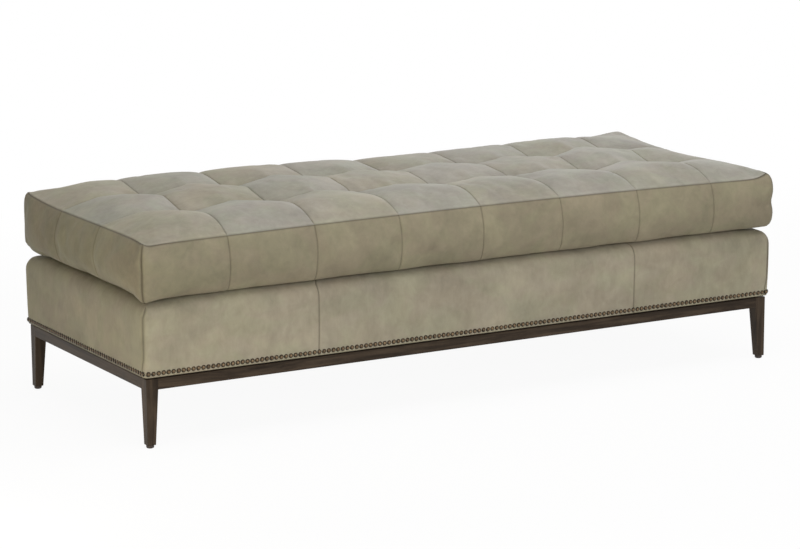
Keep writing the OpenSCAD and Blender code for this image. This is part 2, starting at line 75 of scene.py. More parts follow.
def srgb(red: float, green: float, blue: float) -> Rgba:
    """Turn a colour as seen on a screen, from 0 to 255, into linear light from 0 to 1, with an alpha of 1."""
    linear = [(v / 255 / 12.92) if v <= 10.31 else ((v / 255 + 0.055) / 1.055) ** 2.4 for v in (red, green, blue)]
    return (linear[0], linear[1], linear[2], 1.0)


class Axis(Enum):
    """Which way the grain of a wooden piece runs."""

    X = 0
    Y = 1
    Z = 2


class Side(Enum):
    """A side of the ottoman, by its place in the walk round it, anticlockwise from above."""

    FRONT = 0
    RIGHT = 1
    BACK = 2
    LEFT = 3

    @property
    def along(self) -> Vector:
        """Return the direction of the walk along this side."""
        return (Vector((1, 0, 0)), Vector((0, 1, 0)), Vector((-1, 0, 0)), Vector((0, -1, 0)))[self.value]

    @property
    def outward(self) -> Vector:
        """Return the direction that this side faces."""
        return (Vector((0, -1, 0)), Vector((1, 0, 0)), Vector((0, 1, 0)), Vector((-1, 0, 0)))[self.value]

    @property
    def is_long(self) -> bool:
        """Tell whether this is one of the two long sides."""
        return self in (Side.FRONT, Side.BACK)


def arithmetic(operation: str) -> Callable[["Value", "Value | float"], "Value"]:
    """Return a method that joins a value and another one, or a number, by a Math node."""
    def method(self: "Value", other: "Value | float") -> "Value":
        """Return the Math node's result."""
        return self.math(operation, other)

    return method


class Value:
    """A shader socket that takes part in Python expressions."""

    __add__ = __radd__ = arithmetic("ADD")
    __mul__ = __rmul__ = arithmetic("MULTIPLY")
    __sub__, __pow__ = arithmetic("SUBTRACT"), arithmetic("POWER")

    def __init__(self, graph: "Graph", socket: bpy.types.NodeSocket) -> None:
        """Keep an output socket and the graph that it is in."""
        self.graph, self.socket = graph, socket

    def math(self, operation: str, *others: "Value | float") -> "Value":
        """Return a Math node's result on this value and the others."""
        return self.graph.node("ShaderNodeMath", {"operation": operation}, [self, *others])

    def __rsub__(self, other: float) -> "Value":
        """Return a number less this value."""
        return (self * -1.0) + other

    def clipped(self) -> "Value":
        """Return this value held between 0 and 1."""
        return self.graph.node("ShaderNodeMath", {"operation": "ADD", "use_clamp": True}, [self, 0.0])

    def ramp(self, low: float, high: float) -> "Value":
        """Return a smooth rise from 0 at low to 1 at high."""
        inputs = {"Value": self, "From Min": low, "From Max": high, "To Min": 0.0, "To Max": 1.0}
        return self.graph.node("ShaderNodeMapRange", {"interpolation_type": "SMOOTHSTEP"}, inputs)


class Graph:
    """The node tree of a material or world, with one method that makes every node."""

    def __init__(self, owner: bpy.types.Material | bpy.types.World | bpy.types.NodeTree) -> None:
        """Empty the tree.

        Args:
            owner: The material or world that holds the tree, or the tree itself if it is a group's.
        """
        self.owner = owner
        if isinstance(owner, bpy.types.NodeTree):
            self.tree = owner
        else:
            owner.use_nodes = True
            self.tree = owner.node_tree
        self.tree.nodes.clear()

    def node(self, kind: str, settings: dict | None = None, inputs: dict | Sequence | None = None,
             output: int | str = 0) -> Value:
        """Add a node, set it up and feed it.

        Args:
            kind: The node's type.
            settings: The node's own settings, and "stops" for a colour ramp's (place, colour) pairs.
            inputs: Values or links by socket name or number, or in the order of the sockets.
            output: The name or number of the output that is used.

        Returns:
            The chosen output.
        """
        made = self.tree.nodes.new(kind)
        for key, value in (settings or {}).items():
            if key == "stops":
                ramp = made.color_ramp
                for element, (place, colour) in zip(ramp.elements, value):
                    element.position, element.color = place, colour
                for place, colour in value[len(ramp.elements):]:
                    ramp.elements.new(place).color = colour
            else:
                setattr(made, key, value)
        pairs = inputs.items() if isinstance(inputs, dict) else enumerate(inputs or [])
        for key, value in pairs:
            if isinstance(value, Value):
                self.tree.links.new(value.socket, made.inputs[key])
            else:
                made.inputs[key].default_value = value
        return Value(self, made.outputs[output])

    def coordinates(self) -> Value:
        """Return the Object coordinates, which are metres in the ottoman's own frame."""
        return self.node("ShaderNodeTexCoord", output="Object")

    def attribute(self, name: str) -> Value:
        """Return a number that is stored on the mesh's points."""
        return self.node("ShaderNodeAttribute", {"attribute_name": name}, output="Fac")

    def noise(self, place: Value, scale: float, detail: float = 2.0, rough: float = 0.5,
              distortion: float = 0.0) -> Value:
        """Return a noise pattern from 0 to 1, with a scale in spots per metre."""
        inputs = {"Vector": place, "Scale": scale, "Detail": detail, "Roughness": rough, "Distortion": distortion}
        return self.node("ShaderNodeTexNoise", None, inputs)

    def product(self, first: Value, second: Value | Sequence[float]) -> Value:
        """Return two places or colours multiplied part by part."""
        other = second if isinstance(second, Value) else tuple(second)
        return self.node("ShaderNodeVectorMath", {"operation": "MULTIPLY"}, [first, other])

    def part(self, place: Value, axis: Axis) -> Value:
        """Return one coordinate of a place."""
        return self.node("ShaderNodeSeparateXYZ", None, [place], output=axis.value)

    def mix(self, factor: Value | float, first: Value | Rgba, second: Value | Rgba) -> Value:
        """Return a blend of two colours."""
        return self.node("ShaderNodeMix", {"data_type": "RGBA"}, {0: factor, 6: first, 7: second}, output=2)

    def shaded(self, colour: Value, factor: Value) -> Value:
        """Return a colour made lighter or darker by a factor."""
        return self.node("ShaderNodeVectorMath", {"operation": "SCALE"}, {0: colour, 3: factor})

    def bump(self, height: Value, distance: float, strength: float = 1.0, base: Value | None = None) -> Value:
        """Return a normal bent by a height pattern.

        Args:
            height: The pattern.
            distance: The height in metres between its low and high places.
            strength: How much of it is used.
            base: A normal that is already bent, if there is one.
        """
        inputs = {"Height": height, "Distance": distance, "Strength": strength}
        if base is not None:
            inputs["Normal"] = base
        return self.node("ShaderNodeBump", None, inputs)

    def finish(self, **surface: "Value | float | Rgba") -> bpy.types.Material:
        """Feed a Principled surface by its sockets' names, with underscores for spaces, and return the material."""
        inputs = {name.replace("_", " "): value for name, value in surface.items()}
        self.close(self.node("ShaderNodeBsdfPrincipled", None, inputs))
        return self.owner

    def close(self, result: Value) -> None:
        """Connect a shader or a geometry to the tree's output."""
        kinds = {"Material": "ShaderNodeOutputMaterial", "World": "ShaderNodeOutputWorld"}
        out = self.tree.nodes.new(kinds.get(type(self.owner).__name__, "NodeGroupOutput"))
        self.tree.links.new(result.socket, out.inputs[0])


@dataclass(frozen=True)
class BrushedLeather:
    """Matte brushed leather whose tone drifts from panel to panel and in soft clouds within each.

    It reads these numbers from the mesh: tone, from -1 for the cool tone to 1 for the warm one; side, 1 where the
    leather is the browner one of the cushion's sides; seam, 1 in a dark seam line and in painted shade in grooves,
    creases and along the box's lower edge; pucker, 1 where a seam gathers the leather; run, the distance along the
    seam line in metres; and paler, how much lighter (above 0) or darker (below 0) the leather is
    there, from tone that differs by panel, painted highlights and painted shade.
    """

    name: str
    warm: Rgba
    cool: Rgba
    side: Rgba
    seam_tone: Rgba = (0.048, 0.036, 0.018, 1.0)
    olive: Rgba = (0.975, 0.99, 0.92, 1.0)
    rose: Rgba = (1.0, 0.965, 0.94, 1.0)
    cloud_scale: float = 7.5
    cloud_depth: float = 0.68
    mottle_scale: float = 30.0
    mottle_depth: float = 0.42
    brush_scale: float = 95.0
    brush_depth: float = 0.28
    brush_along: tuple[float, float, float] = (1.0, 1.0, 0.4)
    grain_scale: float = 850.0
    grain_depth: float = 0.08
    pore_scale: float = 520.0
    pucker_scale: float = 105.0
    pucker_depth: float = 1.1 * MM
    seam_shade: float = 0.85
    level: float = 1.02
    roughness: float = 0.66

    def material(self) -> bpy.types.Material:
        """Return the leather."""
        graph = Graph(bpy.data.materials.new(self.name))
        place = graph.coordinates()
        cloud = graph.noise(place, self.cloud_scale, 3.0, 0.55, 0.5)
        drift = graph.noise(graph.product(place, (1.0, 0.8, 1.6)), self.cloud_scale * 1.7, 2.0)
        hue = graph.noise(graph.product(place, (-0.9, 1.2, 1.4)), self.cloud_scale * 1.2, 4.0, 0.6, 0.8)
        mottle = graph.noise(place, self.mottle_scale, 5.0, 0.62, 0.6)
        brush = graph.noise(graph.product(place, self.brush_along), self.brush_scale, 4.0, 0.65, 0.4)
        grain = graph.noise(place, self.grain_scale, 3.0, 0.6)
        share = (graph.attribute("tone") * 0.5 + 0.5 + (drift - 0.5) * 1.2).clipped()
        colour = graph.mix(graph.attribute("side"), graph.mix(share, self.cool, self.warm), self.side)
        tinted = graph.product(colour, graph.mix(hue.ramp(0.38, 0.62), self.olive, self.rose))
        # light takes in paler, which holds painted highlights and painted shade as well as tone.
        light = ((cloud - 0.5) * self.cloud_depth + (mottle - 0.5) * self.mottle_depth
                 + (brush - 0.5) * self.brush_depth + (grain - 0.5) * self.grain_depth
                 + graph.attribute("paler") + self.level)
        # The seam tone darkens the seam lines and the painted shade in grooves, creases and along the box's lower edge.
        seamed_and_shaded = graph.mix(graph.attribute("seam") * self.seam_shade, graph.shaded(tinted, light), self.seam_tone)
        pores = graph.node("ShaderNodeTexVoronoi", {"feature": "DISTANCE_TO_EDGE"},
                           {"Vector": place, "Scale": self.pore_scale})
        gathers = graph.node("ShaderNodeCombineXYZ", None,
                             [graph.attribute("run"), graph.part(place, Axis.Z) * 0.1, 0.0])
        folds = graph.noise(gathers, self.pucker_scale, 2.0, 0.5) * graph.attribute("pucker")
        normal = graph.bump(pores.ramp(0.0, 0.12), 0.12 * MM, 0.3)
        normal = graph.bump(grain, 0.2 * MM, 0.4, normal)
        normal = graph.bump(brush, 0.5 * MM, 0.35, normal)
        normal = graph.bump(mottle, 1.2 * MM, 0.5, normal)
        normal = graph.bump(folds, self.pucker_depth, 1.0, normal)
        return graph.finish(Base_Color=seamed_and_shaded, Roughness=(mottle - 0.5) * 0.16 + self.roughness, Normal=normal,
                            Specular_IOR_Level=0.24, Sheen_Weight=0.06, Sheen_Roughness=0.5)


@dataclass(frozen=True)
class StainedWood:
    """Wood with its grain along one axis, under a stain and a thin satin lacquer."""

    name: str
    dark: Rgba
    light: Rgba
    grain: Axis
    roughness: float = 0.4
    coat: float = 0.0
    pore_depth: float = 0.15 * MM
    grain_scale: float = 55.0
    along_share: float = 0.07
    specular: float = 0.25

    def material(self) -> bpy.types.Material:
        """Return the wood."""
        graph = Graph(bpy.data.materials.new(self.name))
        place = graph.coordinates()
        factors = [1.0, 1.0, 1.0]
        factors[self.grain.value] = self.along_share
        figure = graph.noise(graph.product(place, factors), self.grain_scale, 6.0, 0.6, 1.2)
        factors[self.grain.value] = self.along_share * 0.4
        pores = graph.noise(graph.product(place, factors), self.grain_scale * 14, 2.0, 0.5)
        wear = graph.noise(place, self.grain_scale * 0.35, 3.0, 0.6)
        share = (figure.ramp(0.3, 0.72) * 0.7 + pores * 0.3 + (wear - 0.5) * 0.4).clipped()
        height = figure * 0.4 + pores.ramp(0.35, 0.6) * 0.6
        return graph.finish(Base_Color=graph.mix(share, self.dark, self.light),
                            Roughness=(pores - 0.5) * 0.18 + (wear - 0.5) * 0.1 + self.roughness,
                            Normal=graph.bump(height, self.pore_depth, 0.6), Specular_IOR_Level=self.specular,
                            Coat_Weight=self.coat, Coat_Roughness=0.28)


@dataclass(frozen=True)
class AgedMetal:
    """Metal with a dark patina, rubbed in small spots; where rub is 1, rubbed wear and a painted highlight."""

    name: str
    patina: Rgba
    bright: Rgba
    roughness: float = 0.36
    metallic: float = 0.85
    specular: float = 0.5
    spot_scale: float = 260.0

    def material(self) -> bpy.types.Material:
        """Return the metal."""
        graph = Graph(bpy.data.materials.new(self.name))
        place = graph.coordinates()
        spots = graph.noise(place, self.spot_scale, 4.0, 0.6, 0.5)
        drift = graph.noise(place, self.spot_scale * 0.2, 3.0)
        # A nail's top is lighter: rubbed wear and a painted highlight.
        rub_and_highlight_share = graph.attribute("rub") * (drift.ramp(0.3, 0.6) * 0.4 + 0.6)
        share = (rub_and_highlight_share + spots.ramp(0.45, 0.75) * 0.3).clipped()
        return graph.finish(Base_Color=graph.mix(share, self.patina, self.bright), Metallic=self.metallic,
                            Roughness=(spots - 0.5) * 0.25 + self.roughness, Specular_IOR_Level=self.specular,
                            Normal=graph.bump(spots, 0.1 * MM, 0.4))


@dataclass(frozen=True)
class Woven:
    """Cloth, webbing or twine with a plain weave, seen as crossing threads."""

    name: str
    thread: Rgba
    shadow: Rgba
    thread_width: float = 0.9 * MM
    roughness: float = 0.85
    depth: float = 0.3 * MM

    def material(self) -> bpy.types.Material:
        """Return the cloth."""
        graph = Graph(bpy.data.materials.new(self.name))
        place = graph.coordinates()
        turns = math.pi / self.thread_width
        along, across = graph.part(place, Axis.X) * turns, graph.part(place, Axis.Y) * turns
        warp, weft = along.math("SINE").math("ABSOLUTE"), across.math("SINE").math("ABSOLUTE")
        over = ((along * 0.5).math("SINE") * (across * 0.5).math("SINE")).ramp(-0.4, 0.4)
        weave = over * warp + (1.0 - over) * weft
        fuzz = graph.noise(place, 140.0, 4.0, 0.6)
        share = (weave * 0.75 + (fuzz - 0.5) * 0.5 + 0.15).clipped()
        return graph.finish(Base_Color=graph.mix(share, self.shadow, self.thread), Roughness=self.roughness,
                            Normal=graph.bump(weave + fuzz * 0.3, self.depth, 0.7), Sheen_Weight=0.2)


@dataclass(frozen=True)
class Cellular:
    """Cut foam, fibre or moulded plastic: an even stuff with a fine open or smooth surface."""

    name: str
    base: Rgba
    hollow: Rgba
    cell_scale: float = 700.0
    roughness: float = 0.9
    depth: float = 0.5 * MM

    def material(self) -> bpy.types.Material:
        """Return the stuff."""
        graph = Graph(bpy.data.materials.new(self.name))
        place = graph.coordinates()
        cells = graph.node("ShaderNodeTexVoronoi", {"feature": "F1"}, {"Vector": place, "Scale": self.cell_scale})
        cloud = graph.noise(place, 12.0, 3.0)
        share = (cells * 1.4 + (cloud - 0.5) * 0.5).clipped()
        return graph.finish(Base_Color=graph.mix(share, self.base, self.hollow), Roughness=self.roughness,
                            Normal=graph.bump(cells, self.depth, 0.5))


class Finishes:
    """Every finish of the ottoman, made once and handed out by the record's slot names."""

    def __init__(self) -> None:
        """Make the materials."""
        dark, light = srgb(38, 31, 25), srgb(88, 75, 62)
        self.wood = {axis: StainedWood(f"espresso_wood_{axis.name.lower()}", dark, light, axis,
                                       specular=0.1).material() for axis in Axis}
        hard = {"cell_scale": 900.0, "roughness": 0.5, "depth": 0.05 * MM}
        others = {
            "hardwood": StainedWood("sawn_hardwood", srgb(176, 140, 96), srgb(214, 184, 140), Axis.Y, 0.7),
            "glide_plastic": Cellular("moulded_glide", srgb(58, 42, 32), srgb(46, 33, 25), **hard),
            "screw_steel": AgedMetal("zinc_plate", srgb(120, 122, 126), srgb(176, 178, 182), 0.42),
            "black_stain": StainedWood("black_plinth", srgb(20, 18, 16), srgb(38, 34, 31), Axis.X, 0.6),
            "black_cloth": Woven("black_cambric", srgb(40, 40, 41), srgb(18, 18, 19)),
            "webbing": Woven("jute_webbing", srgb(178, 152, 108), srgb(120, 98, 64), 1.8 * MM),
            "foam": Cellular("cut_foam", srgb(232, 222, 184), srgb(206, 194, 152)),
            "box_leather": BrushedLeather("box_leather", srgb(164, 156, 137), srgb(159, 154, 138), srgb(150, 141, 119)),
            "nail_bronze": AgedMetal("antique_bronze", srgb(13, 9, 6), srgb(150, 126, 96), 0.3, 0.4, 0.2),
            "cushion_leather": BrushedLeather("cushion_leather", srgb(157, 152, 137), srgb(157, 155, 147),
                                              srgb(143, 136, 116), brush_along=(0.8, 1.0, 0.6)),
            "batting": Cellular("polyester_batting", srgb(240, 240, 236), srgb(222, 222, 218), 300.0),
            "tuft_twine": Woven("waxed_twine", srgb(200, 188, 160), srgb(150, 138, 110), 0.6 * MM),
            "washer_plastic": Cellular("washer_plastic", srgb(58, 54, 50), srgb(48, 44, 41), **hard),
        }
        self.by_slot = {slot: finish.material() for slot, finish in others.items()}
        self.by_slot["espresso_wood"] = self.wood[Axis.Z]

    def dress_construction(self) -> None:
        """Give every node of the construction model the finish of its slot."""
        for row in frame["record"]["subparts"]:
            data = frame["nodes"][row["node"]].data
            data.materials.clear()
            data.materials.append(self.by_slot[row["material_slot"]])


@dataclass
class Surface:
    """Points, faces and point values that grow into one mesh."""

    points: list[Array] = field(default_factory=list)
    faces: list[Array] = field(default_factory=list)
    values: dict[str, list[Array]] = field(default_factory=dict)
    count: int = 0

    def add(self, points: Array, **values: Array) -> Array:
        """Add a block of points.

        Args:
            points: Points in an array whose last axis holds their three coordinates.
            values: Numbers to store on the points, by attribute name.

        Returns:
            The points' numbers, in an array of the block's shape.
        """
        flat = points.reshape(-1, 3)
        numbers = np.arange(self.count, self.count + len(flat)).reshape(points.shape[:-1])
        self.points.append(flat)
        for name, value in values.items():
            self.values.setdefault(name, []).append(np.broadcast_to(value, points.shape[:-1]).ravel())
        self.count += len(flat)
        return numbers

    def quads(self, numbers: Array, flip: bool = False) -> None:
        """Join a grid of point numbers by four-sided faces, in the grid's order or turned over."""
        corners = [numbers[:-1, :-1], numbers[:-1, 1:], numbers[1:, 1:], numbers[1:, :-1]]
        block = np.stack([c.ravel() for c in (corners[::-1] if flip else corners)], axis=1)
        self.faces.append(block)

    def prism(self, numbers: Array) -> None:
        """Join rings of point numbers, given as rows, into a tube and close its two ends."""
        self.quads(np.hstack([numbers, numbers[:, :1]]))
        self.faces += [numbers[0][None, ::-1], numbers[-1][None]]

    def build(self, name: str, material: bpy.types.Material, smooth: bool = True) -> bpy.types.Object:
        """Make the mesh and its object.

        Args:
            name: The piece's name.
            material: Its finish.
            smooth: Whether its faces are shaded as one round surface.

        Returns:
            The piece, in the scene and at the origin.
        """
        mesh = bpy.data.meshes.new(name)
        faces = [face for block in self.faces for face in block.tolist()]
        mesh.from_pydata(np.concatenate(self.points).tolist(), [], faces)
        for key, blocks in self.values.items():
            layer = mesh.attributes.new(key, "FLOAT", "POINT")
            layer.data.foreach_set("value", np.concatenate(blocks).astype(np.float32))
        mesh.materials.append(material)
        mesh.polygons.foreach_set("use_smooth", [smooth] * len(mesh.polygons))
        mesh.update()
        piece = bpy.data.objects.new(name, mesh)
        bpy.context.scene.collection.objects.link(piece)
        return piece


def settled(piece: bpy.types.Object) -> bpy.types.Object:
    """Apply a piece's modifiers.

    Args:
        piece: A piece with modifiers.

    Returns:
        The same piece with a plain mesh.
    """
    shape = bpy.data.meshes.new_from_object(piece.evaluated_get(bpy.context.evaluated_depsgraph_get()))
    shape.name = piece.name
    piece.modifiers.clear()
    piece.data = shape
    return piece


def turned_out(piece: bpy.types.Object) -> bpy.types.Object:
    """Turn a closed piece's faces outwards.

    Args:
        piece: A piece whose mesh is closed.

    Returns:
        The same piece.
    """
    work = bmesh.new()
    work.from_mesh(piece.data)
    bmesh.ops.recalc_face_normals(work, faces=work.faces)
    work.to_mesh(piece.data)
    work.free()
    return piece


def bevelled(piece: bpy.types.Object, width: float, share: Callable[[Vector, Vector], float],
             segments: int = 3) -> bpy.types.Object:
    """Round the edges of a piece and apply that.

    Args:
        piece: A piece with flat faces.
        width: How far a full rounding reaches from an edge.
        share: Gives the part of the width that an edge gets, from its two ends.
        segments: How many faces a rounding has.

    Returns:
        The same piece.
    """
    mesh = piece.data
    layer = mesh.attributes.new("bevel_weight_edge", "FLOAT", "EDGE")
    for edge, weight in zip(mesh.edges, layer.data):
        weight.value = share(*[mesh.vertices[number].co for number in edge.vertices])
    modifier = piece.modifiers.new("rounding", "BEVEL")
    modifier.width, modifier.segments, modifier.limit_method = width, segments, "WEIGHT"
    modifier.harden_normals = True
    return settled(piece)


def thickened(piece: bpy.types.Object, thickness: float) -> bpy.types.Object:
    """Give an open sheet a thickness, inwards from its outer face, and apply that."""
    modifier = piece.modifiers.new("thickness", "SOLIDIFY")
    modifier.thickness, modifier.offset, modifier.use_even_offset = thickness, -1.0, True
    return settled(piece)


def handed_over(piece: bpy.types.Object, body: str, slot: str, *nodes: str,
                fill: float | None = None) -> bpy.types.Object:
    """Attach a finished piece to its body and hide the nodes that it stands for.

    Args:
        piece: The piece.
        body: The body that it rides on.
        slot: The slot of its finish; not used.
        nodes: The nodes that it stands for.
        fill: How full it is, if it is a padded piece; not used.

    Returns:
        The same piece.
    """
    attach(piece, body)
    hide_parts(*nodes)
    LOG.info("made %s: %d faces", piece.name, len(piece.data.polygons))
    return piece


def seam_lines(seams: Sequence[float], step: float, near: Sequence[float]) -> Array:
    """Place grid lines between seams, close together beside each seam.

    Args:
        seams: Where the seams and the two ends are, in order.
        step: The distance between lines away from the seams.
        near: Distances from a seam at which there is a line on each side.

    Returns:
        The lines' places.
    """
    lines = [seams[0]]
    for low, high in zip(seams[:-1], seams[1:]):
        inner_low, inner_high = low + near[-1], high - near[-1]
        count = max(1, round((inner_high - inner_low) / step))
        lines += [low + d for d in near[:-1]]
        lines += np.linspace(inner_low, inner_high, count + 1).tolist()
        lines += [high - d for d in reversed(near[:-1])]
        lines.append(high)
    return np.array(lines)


def even_lines(seams: Sequence[float], cells: int) -> Array:
    """Place the same number of even cells between every two seams."""
    blocks = [np.linspace(low, high, cells, endpoint=False) for low, high in zip(seams[:-1], seams[1:])]
    return np.append(np.concatenate(blocks), seams[-1])


def cubic_weights(lines: Array, seams: Sequence[float], cells: int) -> Array:
    """Work out how values on even lines blend into values on finer lines, smoothly within a panel.

    Args:
        lines: The places where values are wanted.
        seams: The panels' borders.
        cells: How many even cells a panel has.

    Returns:
        A matrix with a row for each place and a column for each even line.
    """
    weights = np.zeros((len(lines), (len(seams) - 1) * cells + 1))
    for row, place in enumerate(lines):
        panel = int(np.clip(np.searchsorted(seams, place, side="right") - 1, 0, len(seams) - 2))
        inside = (place - seams[panel]) / (seams[panel + 1] - seams[panel]) * cells
        cell, first = min(int(inside), cells - 1), panel * cells
        t = inside - cell
        parts = (-0.5 * t + t * t - 0.5 * t**3, 1 - 2.5 * t * t + 1.5 * t**3,
                 0.5 * t + 2 * t * t - 1.5 * t**3, -0.5 * t * t + 0.5 * t**3)
        for spot, part in zip(range(cell - 1, cell + 3), parts):
            edge = first + min(max(spot, 0), cells)
            if 0 <= spot <= cells:
                weights[row, edge] += part
            else:
                weights[row, edge] += 2 * part
                weights[row, edge + (1 if spot < 0 else -1)] -= part
    return weights


def carried(moves: Array, rows: Array, columns: Array) -> Array:
    """Carry movements on a coarse grid over to finer rows and columns, by their weights."""
    return np.einsum("rk,kcd,fc->rfd", rows, moves, columns)


def greatest(*layers: Array) -> Array:
    """Return the greatest of several layers at each place."""
    return reduce(np.maximum, layers)


def bell(distance: Array | float, width: float) -> Array:
    """Return a smooth hump that is 1 at no distance and fades over a width."""
    return np.exp(-np.square(np.asarray(distance) / width))


def cusp(distance: Array, width: float) -> Array:
    """Return a pinched hump that is sharp at no distance and fades over a width."""
    return np.exp(-np.abs(distance) / width)


@dataclass(frozen=True)
class Hump:
    """A smooth hump: its height, and the width over which it fades."""

    height: float
    width: float

    def at(self, distance: Array | float) -> Array:
        """Return its height at a distance from its middle."""
        return self.height * bell(distance, self.width)


@dataclass(frozen=True)
class Slope:
    """A climb from an edge to 1: the reach that it takes, and how it slows down."""

    reach: float
    power: float

    def at(self, gap: Array) -> Array:
        """Return how much of it is climbed at a distance from the edge."""
        return 1 - (1 - np.clip(gap / self.reach, 0, 1)) ** self.power


@dataclass(frozen=True)
class Waves:
    """Gentle irregular waves, the same on every run: their height, the distance between crests, and the draw."""

    height: float
    length: float
    seed: int
    layers: int = 5

    def at(self, x: Array, y: Array) -> Array:
        """Return how far they stand above or below their middle at some places."""
        draw = np.random.RandomState(self.seed)
        total = np.zeros(np.broadcast(x, y).shape)
        for _ in range(self.layers):
            angle, phase = draw.uniform(0, math.pi), draw.uniform(0, 2 * math.pi)
            length = self.length * draw.uniform(0.7, 1.5)
            total += np.sin((x * math.cos(angle) + y * math.sin(angle)) * 2 * math.pi / length + phase)
        return self.height * (total / self.layers)


@dataclass
class ClothPuff:
    """Puffs a sheet by air pressure under it, held along its seams."""

    pressure: float = 4.0
    slack: float = 0.006
    frames: int = 20
    most: float = 6 * MM
    quality: int = 6
    mass: float = 0.3
    bending: float = 1.2
    stretching: float = 30.0
    damping: float = 2.0

    def run(self, points: Array, faces: Array, held: Array) -> Array:
        """Simulate the sheet.

        Args:
            points: Its points before it is puffed.
            faces: Its faces.
            held: Which points are sewn down and stay in place.

        Returns:
            How far each point moves, no further than the most.
        """
        mesh = bpy.data.meshes.new("puff")
        mesh.from_pydata(points.tolist(), [], faces.tolist())
        sheet = bpy.data.objects.new("puff", mesh)
        scene = bpy.context.scene
        scene.collection.objects.link(sheet)
        group = sheet.vertex_groups.new(name="sewn")
        group.add(np.flatnonzero(held).tolist(), 1.0, "REPLACE")
        modifier = sheet.modifiers.new("cloth", "CLOTH")
        cloth = modifier.settings
        cloth.quality, cloth.mass, cloth.air_damping = self.quality, self.mass, self.damping
        cloth.tension_stiffness = cloth.compression_stiffness = self.stretching
        cloth.shear_stiffness, cloth.bending_stiffness = self.stretching / 3, self.bending
        cloth.vertex_group_mass = group.name
        cloth.shrink_min = -self.slack
        cloth.use_pressure, cloth.uniform_pressure_force = True, self.pressure
        cloth.effector_weights.gravity = 0.0
        modifier.collision_settings.use_collision = False
        modifier.point_cache.frame_start, modifier.point_cache.frame_end = 1, self.frames
        for number in range(1, self.frames + 1):
            scene.frame_set(number)
        shape = sheet.evaluated_get(bpy.context.evaluated_depsgraph_get()).data
        moved = np.empty(len(shape.vertices) * 3, np.float32)
        shape.vertices.foreach_get("co", moved)
        scene.frame_set(1)
        bpy.data.objects.remove(sheet)
        bpy.data.meshes.remove(mesh)
        step = moved.reshape(-1, 3).astype(float) - points
        length = np.linalg.norm(step, axis=1, keepdims=True)
        return step * np.minimum(1.0, self.most / np.maximum(length, 1e-9))


@dataclass(frozen=True)
class Corners:
    """A length for each corner of the cushion and the reach over which it fades, all in millimetres."""

    front_left: float
    front_right: float
    back_right: float
    back_left: float
    reach: float

    def at(self, x: Array, y: Array, half: Pair) -> Array:
        """Return the corners' lengths in metres, each fading from its corner.

        Args:
            x: Places along the length.
            y: Places along the depth.
            half: Half the cushion's length and depth.
        """
        total = np.zeros(np.broadcast(x, y).shape)
        signs = ((self.front_left, -1, -1), (self.front_right, 1, -1), (self.back_right, 1, 1),
                 (self.back_left, -1, 1))
        for value, sign_x, sign_y in signs:
            total += value * MM * bell(np.hypot(sign_x * half[0] - x, sign_y * half[1] - y), self.reach * MM)
        return total


@dataclass(frozen=True)
class RimWalk:
    """Places round the cushion's rim, anticlockwise from the front left corner.

    Each has its place in the flat pattern, the direction that its side faces, the direction to the nearer corner,
    the distance from that corner, how far the side swells there, the distance from the nearest seam, and a length
    that runs on round the rim.
    """

    x: Array
    y: Array
    facing: Array
    ahead: Array
    gap: Array
    swell: Array
    seam: Array
    run: Array


